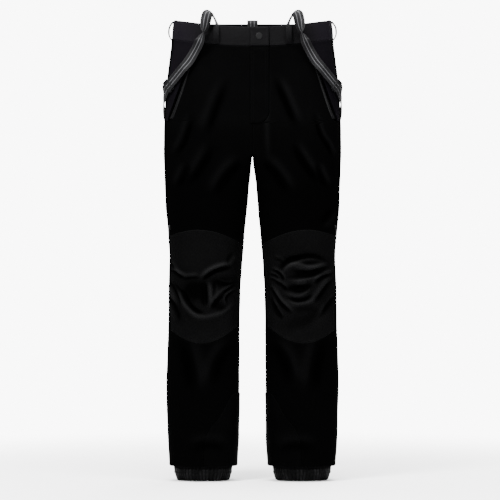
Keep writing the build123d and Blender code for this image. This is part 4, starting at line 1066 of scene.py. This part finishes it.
# pocket bags: flat pouches, drawn in round the lower corner and closed at the bottom. Each level is an oval loop:
# x is the middle plus the half-width times the root of cosine, y the middle plus the half-depth times sine to 0.8.
bag = dict(innerX=0.0585, outerX=0.1395, back=-0.0762, front=-0.0822, low=-0.3095, high=-0.1305, corner=0.025)
for side in sides:
    t = np.concatenate([np.linspace(0, 0.02, 8), np.linspace(0.03, 1, 60)])[:, None]
    z = bag["low"] + (bag["high"] - bag["low"]) * t
    turn = np.linspace(0, 2 * np.pi, 120, endpoint=False)[None, :]
    up = np.clip(z - bag["low"], 0, bag["corner"])
    drawnIn = bag["corner"] - np.sqrt(bag["corner"] ** 2 - (bag["corner"] - up) ** 2)
    halfWide = (bag["outerX"] - bag["innerX"]) / 2 - drawnIn
    halfDeep = (bag["back"] - bag["front"]) / 2 * np.minimum(1, np.sqrt(up / bag["corner"]) + 0.02)
    x = (bag["innerX"] + bag["outerX"]) / 2 + halfWide * np.sign(np.cos(turn)) * np.abs(np.cos(turn)) ** 0.5
    y = (bag["back"] + bag["front"]) / 2 + halfDeep * np.sign(np.sin(turn)) * np.abs(np.sin(turn)) ** 0.8
    points = np.stack([x * sides[side], y + 0 * x, z + 0 * x], axis=-1)
    dress(f"pocketBagCloth_{side}", [dict(points=points, run=turn * 0.04, rise=z, flip=side == "left")],
          0.0005, "trousers", "lining", "liningCloth", f"pocket_bag_{side}", closeAcross=True)


# zips: two flat tapes and two coils. A coil is a small round wire carried along a long flat helix: across is the
# coil's middle less its reach times cosine, up rises by the pitch each turn, and out is the height plus the rise
# times sine.
zipShape = dict(tapeInner=0.00035, tapeOuter=0.009, tapeCloth=0.0007, coilMiddle=0.0016, coilReach=0.00105,
                coilHeight=0.00095, coilRise=0.0005, wire=0.0003, pitch=0.0015, turnSteps=12, wireSteps=6)


def zipPieces(name, zipper, node, tapeLook, mirror=1):
    length = zipper["length"] - 0.0004
    axes = np.stack([zipper["across"], zipper["up"], zipper["out"]])
    flip = np.array([mirror, 1, 1])
    tapes, coils = [], []
    for hand in (-1, 1):
        s = edgeSpaced(zipShape["tapeOuter"] - zipShape["tapeInner"], 0.0008, (0, 0.0003, 0.0007))[None, :]
        t = np.linspace(-0.5, 0.5, 120)[:, None]
        a = hand * (zipShape["tapeInner"] + (zipShape["tapeOuter"] - zipShape["tapeInner"]) * s) + 0 * t
        local = np.stack([a, t * length + 0 * a, zipShape["tapeCloth"] / 2 + 0 * a], axis=-1)
        tapes.append(dict(points=(zipper["middle"] + local @ axes) * flip, run=a, rise=t * length, edge=0.02,
                          flip=(hand < 0) != (mirror < 0)))
        steps = int(length / zipShape["pitch"]) * zipShape["turnSteps"]
        theta = np.arange(steps) * 2 * np.pi / zipShape["turnSteps"]
        path = np.stack([hand * (zipShape["coilMiddle"] - zipShape["coilReach"] * np.cos(theta)),
                         -length / 2 + zipShape["pitch"] * theta / (2 * np.pi) + (hand > 0) * zipShape["pitch"] / 2,
                         zipShape["coilHeight"] + zipShape["coilRise"] * np.sin(theta)], axis=1)
        tangent = unit(np.gradient(path, axis=0))
        first = unit(np.cross(tangent, np.array([0.0, 1.0, 0.0])))
        second = np.cross(tangent, first)
        ring = np.arange(zipShape["wireSteps"]) * 2 * np.pi / zipShape["wireSteps"]
        tube = path[:, None] + zipShape["wire"] * (first[:, None] * np.cos(ring)[None, :, None]
                                                    + second[:, None] * np.sin(ring)[None, :, None])
        coils.append(dict(points=(zipper["middle"] + tube @ axes) * flip, run=0.0, rise=0.0, edge=0.02,
                          flip=mirror > 0))
    dress(f"{name}Tape", tapes, zipShape["tapeCloth"], "trousers", "zip_tape", tapeLook, node)
    dress(f"{name}Coil", coils, 0, "trousers", "zip_tape", "coilNylon", node, closeAcross=True)


flyZip = zipFrame("fly_zip", "fly_zip_run")
zipPieces("flyZip", flyZip, "fly_zip", "liningCloth")
for side, sign in sides.items():
    zipPieces(f"pocketZip_{side}", pocketZip, f"pocket_zip_{side}", "zipFilm", sign)
    zipPieces(f"ventZip_{side}", ventZip, f"vent_zip_{side}", "liningCloth", sign)
print("zips made")


# braces: a flat strap through stations, each a point and the way that its face looks
strapShape = dict(width=0.028, cloth=0.0014, steps=10, columns=18)
adjuster = dict(level=-0.161, turn=-28.7, topLevel=-0.127, topTurn=-45.9, stand=0.009,
                shifts=(0.066, 0.048, 0.0, -0.012))
braceTop = np.array([0.088, -0.080, -0.011])
# the loop over the waist: millimetres from the top point, and the way that the strap's face looks
braceLoop = [
    ((0, 10, -35), (0, -1, 0)), ((0, 13, -19), (-0.4, -1, 0)), ((1, 20.5, -4), (-1, -0.5, 0)),
    ((6, 17.5, 12), (-1, -0.2, 0.2)), ((12, 5, 26), (-0.9, -0.2, 0.5)), ((19, -1, 35), (-0.6, -0.5, 1)),
    ((24, -8, 37), (0, -0.7, 1)), ((28, -13, 31), (0.1, -1, 0.4)), ((31, -16, 19), (0, -1, 0.1)),
    ((34, -18, 4), (-0.6, -1, 0)), ((37, -20, -9), (-1, -0.6, 0)), ((40, -21, -19), (-1, 0.2, 0)),
    ((43, -21, -29), (-1, 0.7, 0)), ((48, -20, -41), (-0.75, 1, 0.1))]
# level, turn, stand and how far the face still leans from the twist
braceOnBody = [(-72, -63, 10, 0.40), (-98, -57, 9, 0.15)]
# level, turn and stand; then x and level up the back
braceRound = [(-190, -13, 5), (-206, 0, 4.5), (-230, 15, 5), (-256, 30, 6), (-280, 43, 6), (-294, 54, 6),
              (-297, 63, 6), (-290, 71, 6), (-272, 78, 6), (-240, 83, 6)]
braceRise = [(78, -205), (64, -165), (50, -125), (37, -85), (25, -48), (18, -24)]


def braceStations():
    rows = [np.concatenate([braceTop + np.array(shift) / 1000, face]) for shift, face in braceLoop]

    def onBody(level, turn, stand, twist=0.0):
        point, out = outerPoint(level / 1000, turn, stand / 1000)
        return np.concatenate([point, -out - np.array([twist, 0, 0])])

    rows += [onBody(*row) for row in braceOnBody]
    low, lowOut = outerPoint(adjuster["level"], adjuster["turn"], adjuster["stand"])
    high, highOut = outerPoint(adjuster["topLevel"], adjuster["topTurn"], adjuster["stand"])
    up = unit(high - low)
    out = unit(lowOut + highOut)
    out = unit(out - up * (out @ up))
    rows += [np.concatenate([low + up * shift, -out]) for shift in adjuster["shifts"]]
    rows += [onBody(*row) for row in braceRound]
    for x, level in braceRise:
        back = rowValues(np.array([level / 1000]))[2][0]
        rows.append(np.array([x / 1000, back + 0.006, level / 1000, 0, -1, 0]))
    return np.array(rows)


# the strap's surface: each row runs across the strap, square to its path and to the face's direction. A point is
# the path's point plus across times its share of the width, less out times a shallow arch.
def ribbonGrid(stations, mirror=1, camber=0.0004):
    rows = smoothRows(stations, strapShape["steps"])
    path, face = rows[:, :3], rows[:, 3:]
    along = unit(np.gradient(path, axis=0))
    across = unit(np.cross(along, face))
    out = unit(np.cross(across, along))
    s = np.linspace(-0.5, 0.5, strapShape["columns"] + 1)[None, :, None]
    points = path[:, None] + across[:, None] * strapShape["width"] * s
    points = points - out[:, None] * camber * (4 * s ** 2 - 0.4)
    length = np.concatenate([[0], np.cumsum(np.linalg.norm(np.diff(path, axis=0), axis=1))])[:, None]
    run = s[..., 0] + 0 * length
    return dict(points=points * np.array([mirror, 1, 1]), run=run, rise=length + 0 * run, edge=0.02,
                flip=mirror > 0)


stations = braceStations()
for side, sign in sides.items():
    dress(f"braceWebbing_{side}", [ribbonGrid(stations, sign)], strapShape["cloth"], "trousers", "webbing",
          "webbing", f"brace_{side}", offset=0.0)

centreStrap = [(46, -9.3, (0, 1, 0)), (24, -9.3, (0, 1, 0)), (2, -9.3, (0, 1, 0)), (-6, -6.3, (0, 1, 1)),
               (-9, -1, (0, 0, 1)), (-5, 3, (0, -1, 1)), (6, 3.5, (0, -1, 0)), (30, 3.5, (0, -1, 0))]
centreRows = []
for drop, stand, face in centreStrap:
    level = rim["side"] - drop / 1000
    centreRows.append([0, rowValues(np.array([level]))[2][0] + stand / 1000, level, *face])
dress("centreStrapWebbing", [ribbonGrid(np.array(centreRows, float))], strapShape["cloth"], "trousers", "webbing",
      "webbing", "brace_centre_strap", offset=0.0)


# the plane that touches the form near x at a level: a point and the directions across, up and out
def touching(x, level, back=False, stand=0.0):
    low, high = (2.0, 3.999) if back else (0.0, 2.0)
    levels = np.array([level, level + 0.005, level - 0.005])
    spots = lookUp(formPoints, aroundAt(np.full(3, x), levels, low, high), levels)
    up = unit(spots[1] - spots[2])
    out = unit(lookUp(outward, aroundAt(np.array([x]), levels[:1], low, high), levels[:1]))[0]
    out = unit(out - up * (out @ up))
    return spots[0] + out * stand, np.cross(up, out), up, out


# a flat patch between half-widths at given heights, on a touching plane. A point is the plane's point plus across
# times a, up times h and out times a bell-shaped dip at the edge.
def patchGrid(plane, heights, halves, mirror=1, rowsUp=30, columns=24):
    point, across, up, out = plane
    t = np.linspace(0, 1, rowsUp)[:, None]
    h = heights[0] + (heights[-1] - heights[0]) * t
    half = np.interp(h, heights, halves)
    s = edgeSpaced(2 * halves[0], 2 * halves[0] / columns, (0, 0.0005, 0.0012))[None, :] * 2 - 1
    a = half * s
    edge = np.minimum(np.minimum(h - heights[0], heights[-1] - h), half - np.abs(a))
    lift = -0.0005 * np.exp(-(edge / 0.0009) ** 2)
    points = point + across * a[..., None] + up * (h + 0 * a)[..., None] + out * lift[..., None]
    return dict(points=points * np.array([mirror, 1, 1]), run=a, rise=h + 0 * a, edge=edge, along=h + a,
                flip=mirror < 0)


yokePlane = touching(0.0006, rim["side"] - 0.025, True, 0.0102)
yoke = patchGrid(yokePlane, [-0.028, -0.025, -0.016, 0.016, 0.020], [0.025, 0.028, 0.036, 0.0145, 0.011])
dress("braceYokeCloth", [yoke], 0.0016, "trousers", "yoke_cloth", "bandCloth", "brace_yoke")
anchorSpots = [(0.088, False, 1), (0.088, False, -1), (0.0006, True, 1)]
anchorGrids = [patchGrid(touching(x, rimLevel(x) - 0.025 if not back else rim["side"] - 0.025, back, -0.0054),
                         [-0.013, 0.013], [0.014, 0.014], mirror, 14, 14) for x, back, mirror in anchorSpots]
dress("braceAnchorCloth", anchorGrids, 0.0014, "trousers", "yoke_cloth", "bandCloth", "brace_anchors")
print("braces made")


# belt loops: a strip of even width that bows off the band, flat where it is tacked down at both ends. It stands
# off by the gap plus the stand times 1 - |t| to the power 2.4, where t runs from -1 to 1 up the loop.
loop = dict(width=0.015, cloth=0.0021, gap=0.0011, half=0.0250, frontX=0.093, backX=0.092, sideTurn=4.0)


def loopGrid(plane, stand, mirror=1):
    point, across, up, out = plane
    t = np.linspace(-1, 1, 44)[:, None]
    s = edgeSpaced(loop["width"], 0.0011, (0, 0.0004, 0.0009))[None, :] - 0.5
    bow = loop["gap"] + (stand - 0.0004) * (1 - np.abs(t) ** 2.4) + 0.0005 * (np.abs(t) > 0.9)
    a = loop["width"] * s + 0 * t
    edge = loop["width"] / 2 - np.abs(a)
    lift = bow - 0.0005 * np.exp(-(edge / 0.0008) ** 2) - 0.0006 * (2 * s) ** 2 * (1 - t ** 2)
    points = point + across * a[..., None] + up * (loop["half"] * t + 0 * a)[..., None] + out * lift[..., None]
    return dict(points=points * np.array([mirror, 1, 1]), run=a, rise=loop["half"] * t + 0 * a, edge=edge,
                along=loop["half"] * t + 0 * a, flip=mirror < 0)


def sidePlane(level, turn):
    spots = [outerPoint(level + shift, turn) for shift in (0.0, 0.005, -0.005)]
    up = unit(spots[1][0] - spots[2][0])
    out = unit(spots[0][1] - up * (spots[0][1] @ up))
    return spots[0][0], np.cross(up, out), up, out


bandMiddle = rim["bandHeight"] / 2
loopPlanes = [(touching(loop["frontX"], rimLevel(loop["frontX"]) - bandMiddle), 0.008),
              (touching(loop["backX"], rim["side"] - bandMiddle, True), 0.008),
              (sidePlane(rim["side"] - bandMiddle, loop["sideTurn"]), 0.0115)]
loopGrids = [loopGrid(plane, stand, mirror) for plane, stand in loopPlanes for mirror in (1, -1)]
materials["loopCloth"] = clothMaterial("loopCloth", dict(clothLooks["bandCloth"], stitchRows=(0.0022,),
                                                         stitchShow=0.4))
dress("beltLoopCloth", loopGrids, loop["cloth"], "trousers", "soft_shell", "loopCloth", "belt_loops")
print("belt loops made")


# better finishes for the CAD pieces that stay: sliders, pulls, the snap and the strap adjusters
finishes = {"slider": "sliderMetal", "pull": "pullRubber", "snap": "snapMetal", "adjuster": "adjusterPlastic"}
for node, cadPiece in frame["nodes"].items():
    for word, finish in finishes.items():
        if word in node:
            for slot in cadPiece.material_slots:
                slot.material = materials[finish]


# a pale round floor that fades into a white surround, soft lamps and the camera
studio = dict(floor=-1.1838, radius=2.2, fadeStart=1.3, fadeEnd=2.1, worldLight=0.55, surround=9.0,
              pale=(0.94, 0.94, 0.945, 1.0))
ring = np.linspace(0, 2 * np.pi, 64, endpoint=False)[None, :]
reach = np.linspace(0.001, studio["radius"], 12)[:, None]
floorPoints = np.stack([reach * np.cos(ring), reach * np.sin(ring), studio["floor"] + 0 * reach * ring], axis=-1)
floor = sheetMesh("studioFloor", [dict(points=floorPoints)], closeAcross=True)
pale = Nodes("studioPale")
pale.shader.inputs["Base Color"].default_value = studio["pale"]
pale.shader.inputs["Roughness"].default_value = 0.9
pale.shader.inputs["Specular IOR Level"].default_value = 0.1
floorSpot = pale.add("ShaderNodeVectorMath", operation="LENGTH")
pale.link(pale.add("ShaderNodeTexCoord").outputs["Object"], floorSpot.inputs[0])
fade = pale.add("ShaderNodeMapRange", interpolation_type="SMOOTHSTEP")
for key, value in (("From Min", studio["fadeStart"]), ("From Max", studio["fadeEnd"]), ("To Min", 1.0),
                   ("To Max", 0.0)):
    fade.inputs[key].default_value = value
pale.link(floorSpot.outputs["Value"], fade.inputs["Value"])
pale.link(fade.outputs["Result"], pale.shader.inputs["Alpha"])
floor.data.materials.append(pale.material)

# place, point looked at, width, height and power of each lamp
lamps = {
    "keyLamp": ((-2.0, -2.4, 2.0), (0.0, 0.0, -0.55), 1.1, 1.1, 330),
    "fillLamp": ((2.6, -2.2, 0.6), (0.0, 0.0, -0.6), 1.0, 1.8, 110),
    "topLamp": ((0.0, -1.0, 2.6), (0.0, 0.0, -0.4), 2.2, 1.0, 260),
    "backLamp": ((1.2, 3.0, 1.2), (0.0, 0.0, -0.5), 2.0, 1.4, 120),
    "floorLamp": ((0.0, 0.4, 2.2), (0.0, 0.5, -1.2), 2.6, 1.6, 260),
}
for name, (spot, target, width, height, power) in lamps.items():
    light = bpy.data.lights.new(name, "AREA")
    light.shape = "RECTANGLE"
    light.size, light.size_y, light.energy = width, height, power
    lamp = bpy.data.objects.new(name, light)
    lamp.location = spot
    lamp.rotation_euler = (Vector(target) - Vector(spot)).to_track_quat("-Z", "Y").to_euler()
    lamp.visible_camera = False
    bpy.context.scene.collection.objects.link(lamp)
world = bpy.data.worlds.new("studioWorld")
world.use_nodes = True
sky = world.node_tree.nodes["Background"]
sky.inputs["Color"].default_value = (1.0, 1.0, 1.0, 1.0)
seen = world.node_tree.nodes.new("ShaderNodeLightPath")    # the surround is bright to look at, soft as a light
gain = world.node_tree.nodes.new("ShaderNodeMath")
gain.operation = "MULTIPLY_ADD"
gain.inputs[1].default_value = studio["surround"] - studio["worldLight"]
gain.inputs[2].default_value = studio["worldLight"]
world.node_tree.links.new(seen.outputs["Is Camera Ray"], gain.inputs[0])
world.node_tree.links.new(gain.outputs[0], sky.inputs["Strength"])
bpy.context.scene.world = world

view = dict(place=(-0.0065, -6.0, -0.5845), focal=166.0, sensor=36.0, farthest=60.0)
lens = bpy.data.cameras.new("camera")
lens.lens, lens.sensor_width, lens.clip_end = view["focal"], view["sensor"], view["farthest"]
camera = bpy.data.objects.new("camera", lens)
camera.location = view["place"]
camera.rotation_euler = (math.pi / 2, 0, 0)
bpy.context.scene.collection.objects.link(camera)
bpy.context.scene.camera = camera
